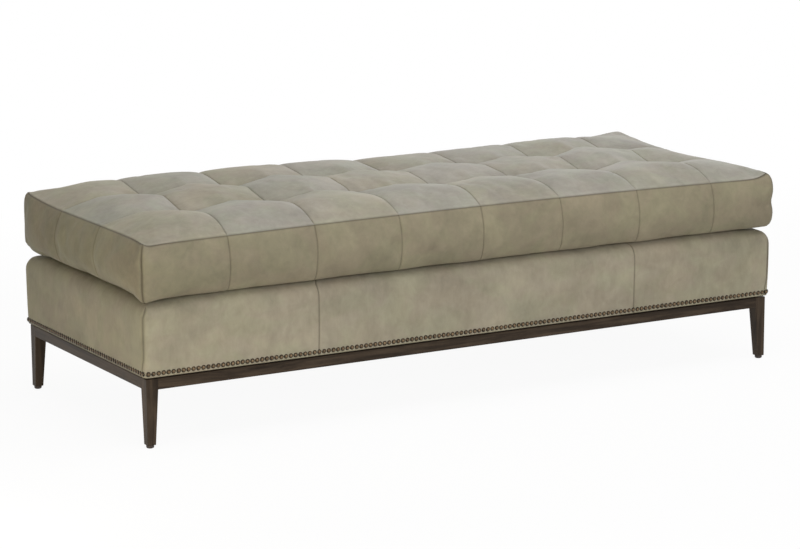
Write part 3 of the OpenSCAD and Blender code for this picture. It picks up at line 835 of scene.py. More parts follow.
@dataclass
class TuftedCushion:
    """The loose cushion: a cover sewn from square panels, drawn down by blind tufts, over a foam core.

    A table has a row for each row of panels or tufts, from the front, and a number for each seam or tuft in it.
    """

    finishes: Finishes
    twine: float = 1 * MM
    # The crowned top.
    crown: float = 44 * MM
    side_slope: Slope = Slope(118 * MM, 2.5)
    left_slope: Slope = Slope(130 * MM, 1.35)
    right_slope: Slope = Slope(170 * MM, 1.15)
    back_rise: Hump = Hump(6.5 * MM, 160 * MM)
    back_rise_y: float = 80 * MM
    crests: Row = (-1.0, 2.0, 2.0, -5.0, -11.0, -9.5, -4.0, -6.0)
    crest_lean: float = 0.4
    lumps: Waves = Waves(2.5 * MM, 0.3, 5)
    uneven_dips: Waves = Waves(0.2, 0.33, 11)
    draw_in: float = 4 * MM
    # The seams and tufts of the top.
    seam_dip: float = 7.5 * MM
    seam_depths: Table = ((1.0, 1.1, 0.9, 0.3, 1.0, 1.0, 0.9), (0.8, 0.7, 0.3, 0.5, 0.4, 0.5, 0.5),
                          (0.5, 1.35, 0.5, 1.35, 0.5, 0.4, 0.6))
    seam_reach: float = 26 * MM
    valley_share: float = 1.25
    valley_reach: float = 30 * MM
    tuft_dip: float = 18 * MM
    tuft_shares: Table = ((1.1, 1.3, 0.5, 0.8, 0.5, 1.1, 1.6), (1.5, 1.15, 1.15, 1.05, 0.9, 1.5, 1.7))
    tuft_reach: float = 115 * MM
    tuft_power: float = 1.1
    tie_sides: int = 8
    # The rim seam.
    rim_lift: BySide = (1 * MM, 13 * MM, 11 * MM, 10 * MM)
    rim_arch: float = 7.5 * MM
    rim_blend: float = 16 * MM
    rim_notch: Hump = Hump(5.5 * MM, 60 * MM)
    rim_notch_y: float = 5 * MM
    corner_lift: Corners = Corners(-4.5, 4, 2, -2, 34)
    corner_rise: Corners = Corners(0, 0, 15.5, 11, 120)
    corner_ear: Corners = Corners(3, 1, -1, 2, 9)
    corner_pinch: Corners = Corners(6, 8, -3, 8, 34)
    ridge: float = 1.0 * MM
    ridge_gap: float = 4 * MM
    ridge_width: float = 0.55
    # The boxing, from the top seam to where it turns under.
    swell_corner: Hump = Hump(15 * MM, 60 * MM)
    swell_long: float = 18 * MM
    swell_end: float = 23 * MM
    swell_power: float = 0.55
    seam_sink: Hump = Hump(0.16, 24 * MM)
    corner_swell: Corners = Corners(-4, -3.5, -4, -14, 50)
    corner_waist: Corners = Corners(0, 3, 1, 0, 50)
    waist: float = 0.2
    waist_reach: float = 0.13
    round_power: float = 0.9
    round_reach: float = 90 * MM
    corner_radius: float = 13 * MM
    corner_power: float = 0.4
    corner_settle: float = 70 * MM
    bulge_share: float = 0.97
    body_share: float = 0.8
    turn_share: float = 0.16
    pinch_share: float = 0.06
    # The underside.
    tuck_end: Hump = Hump(17 * MM, 45 * MM)
    tuck_long: Hump = Hump(9 * MM, 45 * MM)
    corner_hold: float = 0.75
    hold_reach: float = 80 * MM
    corner_tuck: Corners = Corners(0, 6, 3, 17, 50)
    corner_up: Corners = Corners(0, 0.5, 2, 8, 50)
    corner_droop: Corners = Corners(4.5, 0.3, 0.3, 0.3, 24)
    up_end: Hump = Hump(3.5 * MM, 16 * MM)
    up_long: Hump = Hump(0.6 * MM, 14 * MM)
    low_waves: Waves = Waves(2.2 * MM, 0.13, 41)
    low_wave_reach: float = 12 * MM
    # Stitching and shades.
    groove: Hump = Hump(1.8 * MM, 1.5 * MM)
    side_groove: float = 0.8
    # Painted shade in the top's seam grooves: each cross seam's share in each row of panels; for each way a faint dark
    # seam line and a fuller painted groove shade; and how much of that shade fades away from the tufts and long rims.
    seam_darks: Table = ((0.8, 0.7, 0.35, 1.0, 0.25, 0.3, 0.6), (0.8, 0.4, 0.7, 0.2, 0.15, 0.2, 0.2),
                         (0.7, 2.3, 0.5, 2.0, 0.9, 0.2, 0.6))
    cross_dark: Pair = (0.08, 0.36)
    lengthwise_dark: Pair = (0.14, 0.36)
    boxing_dark: Pair = (0.42, 0.8)
    # The rim seam's dark line on each side, with painted shade that differs from side to side.
    rim_dark: BySide = (1.0, 0.9, 0.8, 1.1)
    edge_shown: Hump = Hump(0.5, 80 * MM)
    # Painted shade in the pinch at each tuft.
    tuft_dark: Hump = Hump(0.4, 6 * MM)
    # Painted shade in the hollows round the tufts and along the lengthwise seams.
    tuft_shade: Hump = Hump(0.09, 30 * MM)
    valley_shade: Hump = Hump(0.03, 14 * MM)
    # Painted contact shadow in the crease where the cushion's bottom turns under onto the box.
    crease: Hump = Hump(0.5, 3 * MM)
    # A painted highlight on the ridge beside the rim seam.
    ridge_light: float = 0.07
    # Painted shade towards the left end's front and back corners, and how far it reaches.
    left_shades: Pair = (0.07, 0.17)
    left_reach: float = 260 * MM
    chequer: float = 0.8
    chequer_fade: float = 0.11
    cool_drift: float = 0.12
    panel_spread: float = 0.035
    panel_seed: int = 5
    pucker: Hump = Hump(0.8, 22 * MM)
    row_pucker: Hump = Hump(0.25, 20 * MM)
    tuft_gather: float = 1.6
    gather_run: tuple[float, float, float] = (0.05, 0.2, 0.35)
    # The grids.
    line_step: float = 8 * MM
    row_step: float = 0.06
    seam_near: Row = (0.0, 0.7 * MM, 1.6 * MM, 3 * MM, 5.5 * MM, 10 * MM)
    row_near: Row = (0.0, 0.007, 0.016, 0.03, 0.055)
    cloth_cells: int = 13
    cloth_rows: int = 9

    def __post_init__(self) -> None:
        """Take the sizes from the construction model."""
        low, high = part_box("cushion_top")
        self.half = self.half_x, self.half_y = (high.x - low.x) / 2, (high.y - low.y) / 2
        base_low, base_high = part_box("cushion_underside")
        self.rest_z = base_low.z
        self.seam_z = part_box("cushion_front_boxing")[1].z + base_high.z - base_low.z
        cords_low, cords_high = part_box("tuft_cords")
        self.tie_z = cords_low.z
        first, last = cords_low.x + self.twine, cords_high.x - self.twine
        self.y_seams = np.array([cords_low.y + self.twine, cords_high.y - self.twine])
        between = cords_high.y - cords_low.y - 2 * self.twine
        self.x_seams = np.linspace(first, last, round((last - first) / between) + 1)
        self.x_borders = [-self.half_x, *self.x_seams, self.half_x]
        self.y_borders = [-self.half_y, *self.y_seams, self.half_y]

    @staticmethod
    def rim(rows: int, columns: int) -> Array:
        """Return the numbers of a grid's outer points, anticlockwise from the front left corner."""
        numbers = np.arange(rows * columns).reshape(rows, columns)
        return np.concatenate([numbers[0, :], numbers[1:, -1], numbers[-1, -2::-1], numbers[-2:0:-1, 0]])

    @staticmethod
    def middles(borders: Sequence[float]) -> list[float]:
        """Return the middle of each panel between borders."""
        return [(low + high) / 2 for low, high in zip(borders[:-1], borders[1:])]

    def rim_gaps(self, x: Array, y: Array) -> tuple[Array, Array, Array, Array]:
        """Return the distances from the front, right, back and left edges of the flat pattern."""
        return self.half_y + y, self.half_x - x, self.half_y - y, self.half_x + x

    def seam_gaps(self, x: Array, y: Array) -> tuple[Array, Array, Array]:
        """Return the distances from the nearest seam across the length, the nearest one along it, and the rim."""
        across, along = (np.min(np.abs(places[..., None] - seams), axis=-1)
                         for places, seams in ((x, self.x_seams), (y, self.y_seams)))
        return across, along, np.minimum(self.half_x - np.abs(x), self.half_y - np.abs(y))

    def plan(self, x: Array, y: Array) -> Array:
        """Return plan places with the sides drawn in between the corners."""
        u, v = x / self.half_x, y / self.half_y
        return np.stack([x - self.draw_in * u * (1 - v * v), y - self.draw_in * v * (1 - u * u)], axis=-1)

    def rise(self, x: Array, y: Array) -> Array:
        """Return how much of the crown is reached at a place: soon behind the long sides, slowly from the ends."""
        end = self.half_x - np.abs(x)
        return (np.where(x > 0, self.right_slope.at(end), self.left_slope.at(end))
                * self.side_slope.at(self.half_y - np.abs(y)))

    def lift(self, x: Array, y: Array) -> Array:
        """Return how far the top seam stands above its mean height, blended from its four sides."""
        gaps = self.rim_gaps(x, y)
        arch = self.rim_arch * (1 - np.square(x / self.half_x))
        front, right, back, left = self.rim_lift
        weights = [(np.maximum(gap, 0) + self.rim_blend) ** -2.0 for gap in gaps]
        values = (front + arch, right, back + arch, left)
        blended = sum(weight * value for weight, value in zip(weights, values)) / sum(weights)
        blended = blended - self.rim_notch.at(np.hypot(y - self.rim_notch_y, gaps[1]))
        for lengths in (self.corner_lift, self.corner_rise, self.corner_ear):
            blended = blended + lengths.at(x, y, self.half)
        return blended

    def across_seams(self, table: Table, x: Array, y: Array, fade: Callable[[Array], Array]) -> Array:
        """Return how strong the seams across the length are at some places.

        Args:
            table: Each seam's strength in each row of panels.
            x: Places along the length.
            y: Places along the depth.
            fade: Gives the share of a seam's strength that is left at a distance from it.

        Returns:
            The strongest seam's strength there.
        """
        rows = self.middles(self.y_borders)
        return greatest(*[np.interp(y, rows, strengths) * fade(x - seam)
                          for seam, strengths in zip(self.x_seams, zip(*table))])

    def seam_pull(self, x: Array, y: Array) -> Array:
        """Return how far the seams pull the top down."""
        along = cusp(self.seam_gaps(x, y)[1], self.valley_reach)
        across = self.across_seams(self.seam_depths, x, y, lambda gap: cusp(gap, self.seam_reach))
        return self.seam_dip * np.maximum(self.valley_share * along, across)

    def tufts(self, x: Array, y: Array) -> Array:
        """Return how far the tufts draw the top down, each by its own share."""
        drawn = np.zeros(np.broadcast(x, y).shape)
        for row, seam_y in zip(self.tuft_shares, self.y_seams):
            for share, seam_x in zip(row, self.x_seams):
                near = np.clip(1 - np.hypot(x - seam_x, y - seam_y) / self.tuft_reach, 0, 1)
                drawn = np.maximum(drawn, share * near ** self.tuft_power)
        return self.tuft_dip * drawn

    def top(self, x: Array, y: Array) -> Array:
        """Return the points of the crowned top over places in its flat pattern."""
        risen = self.rise(x, y)
        lean = 1 - self.crest_lean + self.crest_lean * y / self.half_y
        crest = np.interp(x, self.middles(self.x_borders), self.crests) * MM * lean
        full = self.crown + self.back_rise.at(y - self.back_rise_y) + crest + self.lumps.at(x, y)
        dips = (self.seam_pull(x, y) + self.tufts(x, y)) * (1 + self.uneven_dips.at(x, y))
        height = self.seam_z + self.lift(x, y) * (1 - risen) + risen * (full - dips)
        pinch = self.corner_pinch.at(x, y, self.half)
        flat = self.plan(x, y) - np.stack([np.sign(x) * pinch, np.sign(y) * pinch], axis=-1)
        return np.concatenate([flat, height[..., None]], axis=-1)

    def under(self, x: Array, y: Array) -> Array:
        """Return the points of the underside, which is tucked in at its rim and droops at a corner."""
        edge_x, edge_y = self.half_x - np.abs(x), self.half_y - np.abs(y)
        corner = bell(np.hypot(edge_x, edge_y), self.hold_reach)
        hold, extra = 1 - self.corner_hold * corner, self.corner_tuck.at(x, y, self.half)
        tuck_x = np.sign(x) * (self.tuck_end.at(edge_x) * hold + extra)
        tuck_y = np.sign(y) * (self.tuck_long.at(edge_y) * hold + extra)
        lift = (self.up_end.at(edge_x) + self.up_long.at(edge_y)) * (1 - corner) + self.corner_up.at(x, y, self.half)
        waves = (self.low_waves.height + self.low_waves.at(x, y)) / 2
        lift = lift + bell(np.minimum(edge_x, edge_y), self.low_wave_reach) * waves
        height = self.rest_z + lift - self.corner_droop.at(x, y, self.half)
        return np.concatenate([self.plan(x, y) - np.stack([tuck_x, tuck_y], axis=-1), height[..., None]], axis=-1)

    def walk(self, lines_x: Array, lines_y: Array) -> RimWalk:
        """Walk round the rim over its grid lines.

        Args:
            lines_x: Places of the lines along the length.
            lines_y: Places of the lines along the depth.
        """
        sides = ((lines_x, -1.0), (lines_y[1:], 1.0), (lines_x[-2::-1], 1.0), (lines_y[-2:0:-1], -1.0))
        blocks = []
        for side, (places, sign) in zip(Side, sides):
            half, other, seams, swell = (
                (self.half_x, self.half_y, self.x_seams, self.swell_long) if side.is_long
                else (self.half_y, self.half_x, self.y_seams, self.swell_end))
            gap, fixed = half - np.abs(places), np.full(len(places), sign * other)
            zero, turn = np.zeros(len(places)), 1 if side.is_long else -1
            x, y = (places, fixed)[::turn]
            facing = np.stack((zero, zero + sign)[::turn], axis=-1)
            ahead = np.stack((np.sign(places), zero)[::turn], axis=-1)
            seam = np.min(np.abs(places[:, None] - seams), axis=1)
            even = swell + (self.swell_corner.height - swell) * bell(gap, self.swell_corner.width)
            swells = even * (1 - self.seam_sink.at(seam)) + self.corner_swell.at(x, y, self.half)
            blocks.append((x, y, facing, ahead, gap, swells, seam, places + 3.0 * side.value))
        return RimWalk(*[np.concatenate(parts) for parts in zip(*blocks)])

    def boxing(self, rim: RimWalk, shares: Array) -> tuple[Array, Array]:
        """Shape the boxing, as rows from the top seam to the bottom seam.

        Args:
            rim: The walk that its columns follow.
            shares: How far down each row is, from 0 to 1.

        Returns:
            Its points and the plan directions that they face.
        """
        top, low, flat = self.top(rim.x, rim.y), self.under(rim.x, rim.y), self.plan(rim.x, rim.y)
        row = shares[:, None]
        turn = np.clip((row - self.body_share) / (1 - self.body_share), 0, 1)
        straight = row / self.body_share * (1 - self.turn_share)
        down = np.where(row < self.body_share, straight, 1 - self.turn_share * (1 - np.sin(turn * math.pi / 2)))
        pinched, tucked = np.exp(-row / self.pinch_share), 1 - np.cos(turn * math.pi / 2)
        radius = np.maximum(self.corner_radius * np.sin(row * math.pi).clip(0, 1) ** self.corner_power, 1e-6)
        arc, settle = radius * math.pi / 4, self.corner_settle
        theta = np.clip(math.pi / 4 - rim.gap / radius, 0, math.pi / 4)
        eased = np.where(rim.gap < settle, radius + (rim.gap - arc) * (settle - radius) / (settle - arc), rim.gap)
        along = np.where(rim.gap < arc, radius * (1 - np.sin(theta)), eased)
        corner = bell(rim.gap, self.round_reach)
        waist = bell(row - 0.5, self.waist_reach) * corner
        power = self.round_power + (self.swell_power - self.round_power) * corner
        bulge = np.sin(np.clip(row / self.bulge_share, 0, 1) * math.pi) ** power * (1 - self.waist * waist)
        swell = bulge * rim.swell - waist * self.corner_waist.at(rim.x, rim.y, self.half)
        normals = rim.facing * np.cos(theta)[..., None] + rim.ahead * np.sin(theta)[..., None]
        points = np.empty((len(shares), len(rim.x), 3))
        points[..., :2] = (flat + (top[:, :2] - flat) * pinched[..., None] + (low[:, :2] - flat) * tucked[..., None]
                           + rim.ahead * (rim.gap - along)[..., None]
                           - rim.facing * (radius * (1 - np.cos(theta)))[..., None]
                           + normals * swell[..., None])
        points[..., 2] = top[:, 2] + (low[:, 2] - top[:, 2]) * down
        return points, normals

    def sew(self, surface: Surface, top: Array, middle: Array, under: Array | None = None) -> None:
        """Join the top, the rows of the boxing and the underside, by their points' numbers."""
        rim = self.rim(*top.shape)
        last = [] if under is None else [under.ravel()[rim][None]]
        rows = np.vstack([top.ravel()[rim][None], middle, *last])
        surface.quads(top)
        surface.quads(np.hstack([rows, rows[:, :1]]), flip=True)
        if under is not None:
            surface.quads(under, flip=True)

    def puffed(self) -> tuple[Array, Array]:
        """Run the cloth on even cells.

        Returns:
            How far the top's points and the boxing's points move.
        """
        x_lines, y_lines = (even_lines(borders, self.cloth_cells) for borders in (self.x_borders, self.y_borders))
        walk = self.walk(x_lines, y_lines)
        cloth = Surface()
        top = cloth.add(self.top(*np.meshgrid(x_lines, y_lines)))
        low = cloth.add(self.boxing(walk, np.linspace(0, 1, self.cloth_rows + 1))[0][1:])
        self.sew(cloth, top, low)
        on_seam_x, on_seam_y = (np.arange(len(lines)) % self.cloth_cells == 0 for lines in (x_lines, y_lines))
        held_top = on_seam_y[:, None] | on_seam_x[None, :]
        held_low = np.broadcast_to((walk.seam < 1e-6) | (walk.gap < 1e-6), low.shape).copy()
        held_low[-1] = True
        moved = ClothPuff().run(np.concatenate(cloth.points), np.concatenate(cloth.faces),
                                np.concatenate([held_top.ravel(), held_low.ravel()]))
        on_top, on_low = moved[:top.size].reshape(*top.shape, 3), moved[top.size:].reshape(*low.shape, 3)
        LOG.info("cushion cover puffed: %d points, by %.1f mm at most", len(moved),
                 np.linalg.norm(moved, axis=1).max() / MM)
        return on_top, np.concatenate([on_top.reshape(-1, 3)[self.rim(*top.shape)][None], on_low])

    def on_boxing(self, moves: Array, fine_x: Array, fine_y: Array, shares: Array) -> Array:
        """Carry the boxing's cloth movement over to finer columns and rows.

        Args:
            moves: The movement of the coarse rows and columns.
            fine_x: The weights of the finer lines along the length.
            fine_y: The weights of the finer lines along the depth.
            shares: How far down each finer row is.
        """
        count_x, count_y = fine_x.shape[1] - 1, fine_y.shape[1] - 1
        ring = np.concatenate([moves, moves[:, :1]], axis=1)
        cuts = np.cumsum([0, count_x, count_y, count_x, count_y])
        rows = cubic_weights(shares, [0.0, 1.0], self.cloth_rows)
        parts = []
        for side, start, stop in zip(Side, cuts[:-1], cuts[1:]):
            order = -1 if side in (Side.BACK, Side.LEFT) else 1
            done = carried(ring[:, start:stop + 1][:, ::order], rows, fine_x if side.is_long else fine_y)
            parts.append(done[:, ::order][:, :-1])
        return np.concatenate(parts, axis=1)

    def panel_tone(self, x: Array, y: Array) -> Array:
        """Return each top panel's tone: chequered at the left end, evening out and cooler towards the right."""
        column, row = np.searchsorted(self.x_seams, x), np.searchsorted(self.y_seams, y)
        tone = np.where((column + row) % 2 == 0, self.chequer, -self.chequer)
        return tone * (1 - self.chequer_fade * column) - self.cool_drift * column

    def panel_shade(self, walk: RimWalk) -> Array:
        """Return how much lighter or darker each boxing panel is, drawn once per panel, less painted shade at the left
        corners.
        """
        draws = np.random.RandomState(self.panel_seed).uniform(-1, 1, 4 * (len(self.x_seams) + 1))
        column = np.searchsorted(self.x_seams, walk.x) + np.searchsorted(self.y_seams, walk.y) * 2
        shade = self.panel_spread * draws[(column + 11 * (walk.facing[:, 0] > 0) + 17 * (walk.y > 0)) % len(draws)]
        # Painted shade that fades from the left end's two corners.
        for at_corner, y in zip(self.left_shades, (-self.half_y, self.half_y)):
            shade = shade - at_corner * bell(np.hypot(walk.x + self.half_x, walk.y - y), self.left_reach)
        return shade

    def ridge_share(self, gap: Array) -> Array:
        """Return how much of the ridge beside the rim's seam there is at a distance from the rim."""
        return bell(gap - self.ridge_gap, self.ridge_width * self.ridge_gap)

    def rim_seam(self, gap: Array, x: Array, y: Array) -> Array:
        """Return how dark the rim's seam is: its line with painted shade set by the side that it is nearest to, and
        nothing away from it.
        """
        nearest = np.argmin(np.stack(self.rim_gaps(x, y)), axis=0)
        return bell(gap, self.groove.width) * np.array(self.rim_dark)[nearest]

    def top_looks(self, x: Array, y: Array) -> dict[str, Array]:
        """Return the numbers that the leather of the top reads at some places."""
        across, along, rim = self.seam_gaps(x, y)
        tuft, reach = np.hypot(across, along), self.groove.width
        tufted = bell(tuft, self.tuft_gather * self.pucker.width)
        half = self.edge_shown.height
        shown = (1 - half) + half * np.maximum(tufted, bell(self.half_y - np.abs(y), self.edge_shown.width))
        # Seams across the length: a faint dark seam line, and painted groove shade that is fullest near the tufts and
        # long rims.
        faint, full = self.cross_dark
        cross = faint * bell(across, reach) + full * shown * self.across_seams(
            self.seam_darks, x, y, lambda gap: bell(gap, reach))
        # Seams along the length: a faint dark seam line, and painted groove shade near the tufts.
        faint, full = self.lengthwise_dark
        # dark: seam lines with painted groove shade, painted shade in the tufts' pinches, and the rim seam with its
        # painted shade.
        dark = greatest(cross, bell(along, reach) * (faint + full * tufted), self.tuft_dark.at(tuft),
                        self.rim_seam(rim, x, y))
        # hollow: painted shade in the tufts' hollows and the lengthwise valleys.
        hollow = self.tuft_shade.at(tuft) + self.valley_shade.at(along)
        by_turn, by_x, by_y = self.gather_run
        # paler: a painted highlight on the rim's ridge, less the painted shade in the hollows.
        return {"tone": self.panel_tone(x, y), "seam": dark, "side": np.where(rim < 1e-6, 0.5, 0.0),
                "pucker": tufted, "run": by_turn * np.arctan2(along, across) + by_x * x + by_y * y,
                "paler": self.ridge_light * self.ridge_share(rim) - hollow}

    def side_looks(self, walk: RimWalk, shares: Array) -> dict[str, Array | float]:
        """Return the numbers that the leather of the boxing reads in its rows."""
        reach, height = self.groove.width, self.seam_z - self.rest_z
        below, above = (shares * height)[:, None], ((1 - shares) * height)[:, None]
        at_seam, at_corner = self.boxing_dark
        # dark: the boxing's seam lines, the rim seam with its painted shade, the bottom seam's line and the painted
        # crease shadow above it.
        dark = greatest(at_seam * bell(walk.seam, reach), at_corner * bell(walk.gap, reach),
                        self.rim_seam(below, walk.x, walk.y), bell(above, reach), self.crease.at(above))
        pucker = greatest(self.pucker.at(np.minimum(walk.seam, walk.gap)), self.row_pucker.at(np.minimum(below, above)))
        return {"tone": 0.0, "seam": dark, "side": 1.0, "pucker": pucker, "run": walk.run,
                "paler": self.panel_shade(walk)}

    def cover(self) -> bpy.types.Object:
        """Make the sewn cover: puffed top, boxing and underside, with a groove at every seam."""
        lines_x, lines_y = (seam_lines(borders, self.line_step, self.seam_near)
                            for borders in (self.x_borders, self.y_borders))
        shares = seam_lines([0.0, 1.0], self.row_step, self.row_near)
        x, y = np.meshgrid(lines_x, lines_y)
        rim, walk = self.rim(*x.shape), self.walk(lines_x, lines_y)
        fine_x, fine_y = (cubic_weights(lines, borders, self.cloth_cells)
                          for lines, borders in ((lines_x, self.x_borders), (lines_y, self.y_borders)))
        on_top, on_side = self.puffed()
        across, along, edge = self.seam_gaps(x, y)
        top_points = self.top(x, y) + carried(on_top, fine_y, fine_x)
        top_points[..., 2] += (self.ridge * self.ridge_share(edge)
                               - self.groove.at(np.minimum(np.minimum(across, 1.4 * along), edge)))
        side_points, normals = self.boxing(walk, shares)
        side_points += self.on_boxing(on_side, fine_x, fine_y, shares)
        row_gap = (np.minimum(shares, 1 - shares) * (self.seam_z - self.rest_z))[:, None]
        sunk = self.side_groove * self.groove.at(np.minimum(np.minimum(walk.seam, walk.gap), row_gap))
        side_points[..., :2] -= normals * sunk[..., None]
        under_points = self.under(x, y)
        top_points.reshape(-1, 3)[rim] = (top_points.reshape(-1, 3)[rim] + side_points[0]) / 2
        under_points.reshape(-1, 3)[rim] = side_points[-1]
        # Dark seam round the underside's rim, and the painted crease shadow reaching in from it.
        under_seam_and_shadow = np.maximum(bell(edge, self.groove.width), self.crease.at(edge / 3))
        side_looks = {name: value[1:-1] if np.ndim(value) == 2 else value
                      for name, value in self.side_looks(walk, shares).items()}
        surface = Surface()
        top = surface.add(top_points, **self.top_looks(x, y))
        middle = surface.add(side_points[1:-1], **side_looks)
        under = surface.add(under_points, tone=0.2, seam=under_seam_and_shadow, side=1.0, pucker=0.0, run=0.0, paler=0.0)
        self.sew(surface, top, middle, under)
        piece = surface.build("cushion_cover", self.finishes.by_slot["cushion_leather"])
        return handed_over(piece, CUSHION, "cushion_leather", "cushion_top", "cushion_front_boxing",
                           "cushion_back_boxing", "cushion_left_boxing", "cushion_right_boxing",
                           "cushion_underside", fill=0.8)

    def core(self) -> bpy.types.Object:
        """Make the foam core in its fibre wrap, a little smaller than the cover and of the same form."""
        inset, wrap, swell, floor_z = 14 * MM, 12 * MM, 8 * MM, self.rest_z + 8 * MM
        lines_x, lines_y = (even_lines(borders, 8) for borders in (self.x_borders, self.y_borders))
        shrink = np.array([1 - inset / self.half_x, 1 - inset / self.half_y, 1.0])
        top_points = self.top(*np.meshgrid(lines_x, lines_y)) * shrink - np.array([0, 0, wrap])
        floor_points = top_points.copy()
        floor_points[..., 2] = floor_z
        rows = np.linspace(0, 1, 7)
        normals = self.boxing(self.walk(lines_x, lines_y), rows)[1]
        ring = top_points.reshape(-1, 3)[self.rim(*top_points.shape[:2])]
        middle_points = np.repeat(ring[None], len(rows) - 2, axis=0)
        middle_points[..., 2] += (floor_z - ring[:, 2]) * rows[1:-1, None]
        middle_points[..., :2] += normals[1:-1] * (swell * np.sin(rows[1:-1] * math.pi))[:, None, None]
        surface = Surface()
        self.sew(surface, surface.add(top_points), surface.add(middle_points), surface.add(floor_points))
        piece = surface.build("cushion_core", self.finishes.by_slot["batting"])
        return handed_over(piece, CUSHION, "batting", "cushion_foam", "cushion_batting", fill=1.0)

    def ties(self) -> bpy.types.Object:
        """Make the twine ties, each from its washer up to its tuft, just under the cover."""
        angles = np.linspace(0, 2 * math.pi, self.tie_sides, endpoint=False)
        ring = self.twine * np.stack([np.cos(angles), np.sin(angles)], axis=-1)
        surface = Surface()
        for x in self.x_seams:
            for y in self.y_seams:
                points = np.empty((2, self.tie_sides, 3))
                points[..., :2] = self.plan(np.array(x), np.array(y)) + ring
                points[0, :, 2] = self.tie_z
                points[1, :, 2] = self.top(np.array([x]), np.array([y]))[0, 2] - self.groove.height - self.twine
                surface.prism(surface.add(points))
        piece = turned_out(surface.build("tuft_ties", self.finishes.by_slot["tuft_twine"]))
        return handed_over(piece, CUSHION, "tuft_twine", "tuft_cords")

    def build(self) -> None:
        """Make the cushion's pieces."""
        self.cover()
        self.core()
        self.ties()


@dataclass
class LeatherBox:
    """The padded box: leather panels with rounded top edges, sewn to each other, round a cloth deck.

    The pairs of looks near its lower edge are for the long sides and for the ends.
    """

    finishes: Finishes
    corner: float = 6.5 * MM
    least_radius: float = 0.4 * MM
    edge: float = 36 * MM
    over: float = 5.5 * MM
    fullness: float = 0.7
    groove: Hump = Hump(1.5 * MM, 1.5 * MM)
    leather: float = 1.8 * MM
    foam_gap: float = 0.4 * MM
    seam_near: Row = (0.0, 0.0007, 0.0016, 0.003, 0.005, 0.007, 0.009, 0.0115, 0.014, 0.017, 0.021)
    column_step: float = 13 * MM
    waves: Waves = Waves(1.0 * MM, 0.3, 21)
    wave_turn: float = 0.37
    wave_squeeze: float = 1.5
    sheet_wave: float = 0.12
    sheet_seed: int = 31
    settle: float = 40 * MM
    drift_heights: Row = (0.0, 0.25, 0.8, 1.0)
    drifts: Row = (-8 * MM, -2 * MM, -1.5 * MM, 2 * MM)
    drift_reach: float = 35 * MM
    corner_drop: Hump = Hump(5 * MM, 60 * MM)
    drop_power: int = 4
    tack_reach: float = 30 * MM
    seam_dark: float = 0.6
    # Painted shade along the lowest millimetres of the leather, above the leg frame, for the long sides and for the
    # ends.
    hems: tuple[Hump, Hump] = (Hump(1.0, 1.2 * MM), Hump(1.0, 2.0 * MM))
    welt_height: float = 3 * MM
    # The strip under the nails: paler leather edge on the long sides; on the ends a negative value, painted shade.
    welt_light: Pair = (0.32, -0.1)
    # Painted shadow of the cushion over the box's top edge, and how far below the top it starts to fade.
    top_shade: float = 0.07
    shade_start: float = 1.5
    pucker: Hump = Hump(0.5, 16 * MM)

    def __post_init__(self) -> None:
        """Take the sizes from the construction model."""
        low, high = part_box("front_left_leg")[0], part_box("back_right_leg")[1]
        self.half_x, self.half_y = (high.x - low.x) / 2, (high.y - low.y) / 2
        box_low, box_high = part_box("front_middle_leather")
        self.z_low, self.z_high = box_low.z, box_high.z
        self.swell = -box_low.y - self.half_y - self.over
        self.border = box_high.y + self.half_y
        self.seams = [box_low.x, box_high.x]
        self.shelf_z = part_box("deck_foam")[0].z
        self.board_out = -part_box("box_front_rail")[0].y - self.half_y

    def profile(self) -> tuple[Array, Array]:
        """Return the padded side's outline from its lower edge over the top edge to the deck.

        Returns:
            The points as distances out from the frame's face and heights, and their outward directions.
        """
        edge_z, edge_p = self.z_high - self.edge, self.over + self.swell - self.edge
        up = np.concatenate([[0.0, 0.015, 0.04], np.linspace(0.08, 1.0, 13)])
        full = self.swell * np.sin(up * math.pi / 2) ** self.fullness
        side = np.stack([self.over + full, self.z_low + (edge_z - self.z_low) * up], 1)
        turn = np.linspace(0, math.pi / 2, 9)[1:]
        round_edge = np.stack([edge_p + self.edge * np.cos(turn), edge_z + self.edge * np.sin(turn)], 1)
        flat = np.stack([np.linspace(edge_p, -self.border, 5)[1:], np.full(4, self.z_high)], 1)
        points = np.concatenate([side, round_edge, flat])
        slope = np.gradient(points, axis=0)
        slope /= np.linalg.norm(slope, axis=1, keepdims=True)
        return points, np.stack([slope[:, 1], -slope[:, 0]], axis=1)

    def place(self, side: Side, along: Array, out: Array) -> tuple[Array, Array]:
        """Place points round the box, over its rounded upright corners.

        Args:
            side: The side whose middle the walk is measured from.
            along: Distances along the side, which run on round its corners.
            out: Distances out from the leg frame's face.

        Returns:
            The points' plan places and their outward directions.
        """
        half, other = (self.half_x, self.half_y) if side.is_long else (self.half_y, self.half_x)
        radius = np.maximum(self.least_radius, self.corner + out)
        straight = half - self.corner
        sign, reach = np.sign(along), np.abs(along)
        angle = np.clip((reach - straight) / self.corner, 0, math.pi / 2)
        past = np.maximum(0, reach - straight - self.corner * math.pi / 2)
        on_side = reach <= straight
        run = np.where(on_side, reach * (half + out - radius) / straight,
                       half + out - radius + radius * np.sin(angle))
        depth = np.where(on_side, other + out, other + out - radius + radius * np.cos(angle) - past)
        forward, outward = np.array(side.along)[:2], np.array(side.outward)[:2]
        flat = (run * sign)[..., None] * forward + depth[..., None] * outward
        return flat, (np.sin(angle) * sign)[..., None] * forward + np.cos(angle)[..., None] * outward

    def share_up(self, heights: Array) -> Array:
        """Return how far up the box some heights are, from 0 to 1."""
        return np.clip((heights - self.z_low) / (self.z_high - self.z_low), 0, 1)

    def sunk(self, side: Side, along: Array, heights: Array) -> Array:
        """Return heights lowered near the box's corners, where the padding thins towards its top."""
        drop = self.corner_drop.at(self.end_of(side) - np.abs(along))
        return heights - drop * self.share_up(heights) ** self.drop_power

    def end_of(self, side: Side) -> float:
        """Return how far along a side the seam at its corners lies."""
        return (self.half_x if side.is_long else self.half_y) - self.corner * (1 - math.pi / 4)

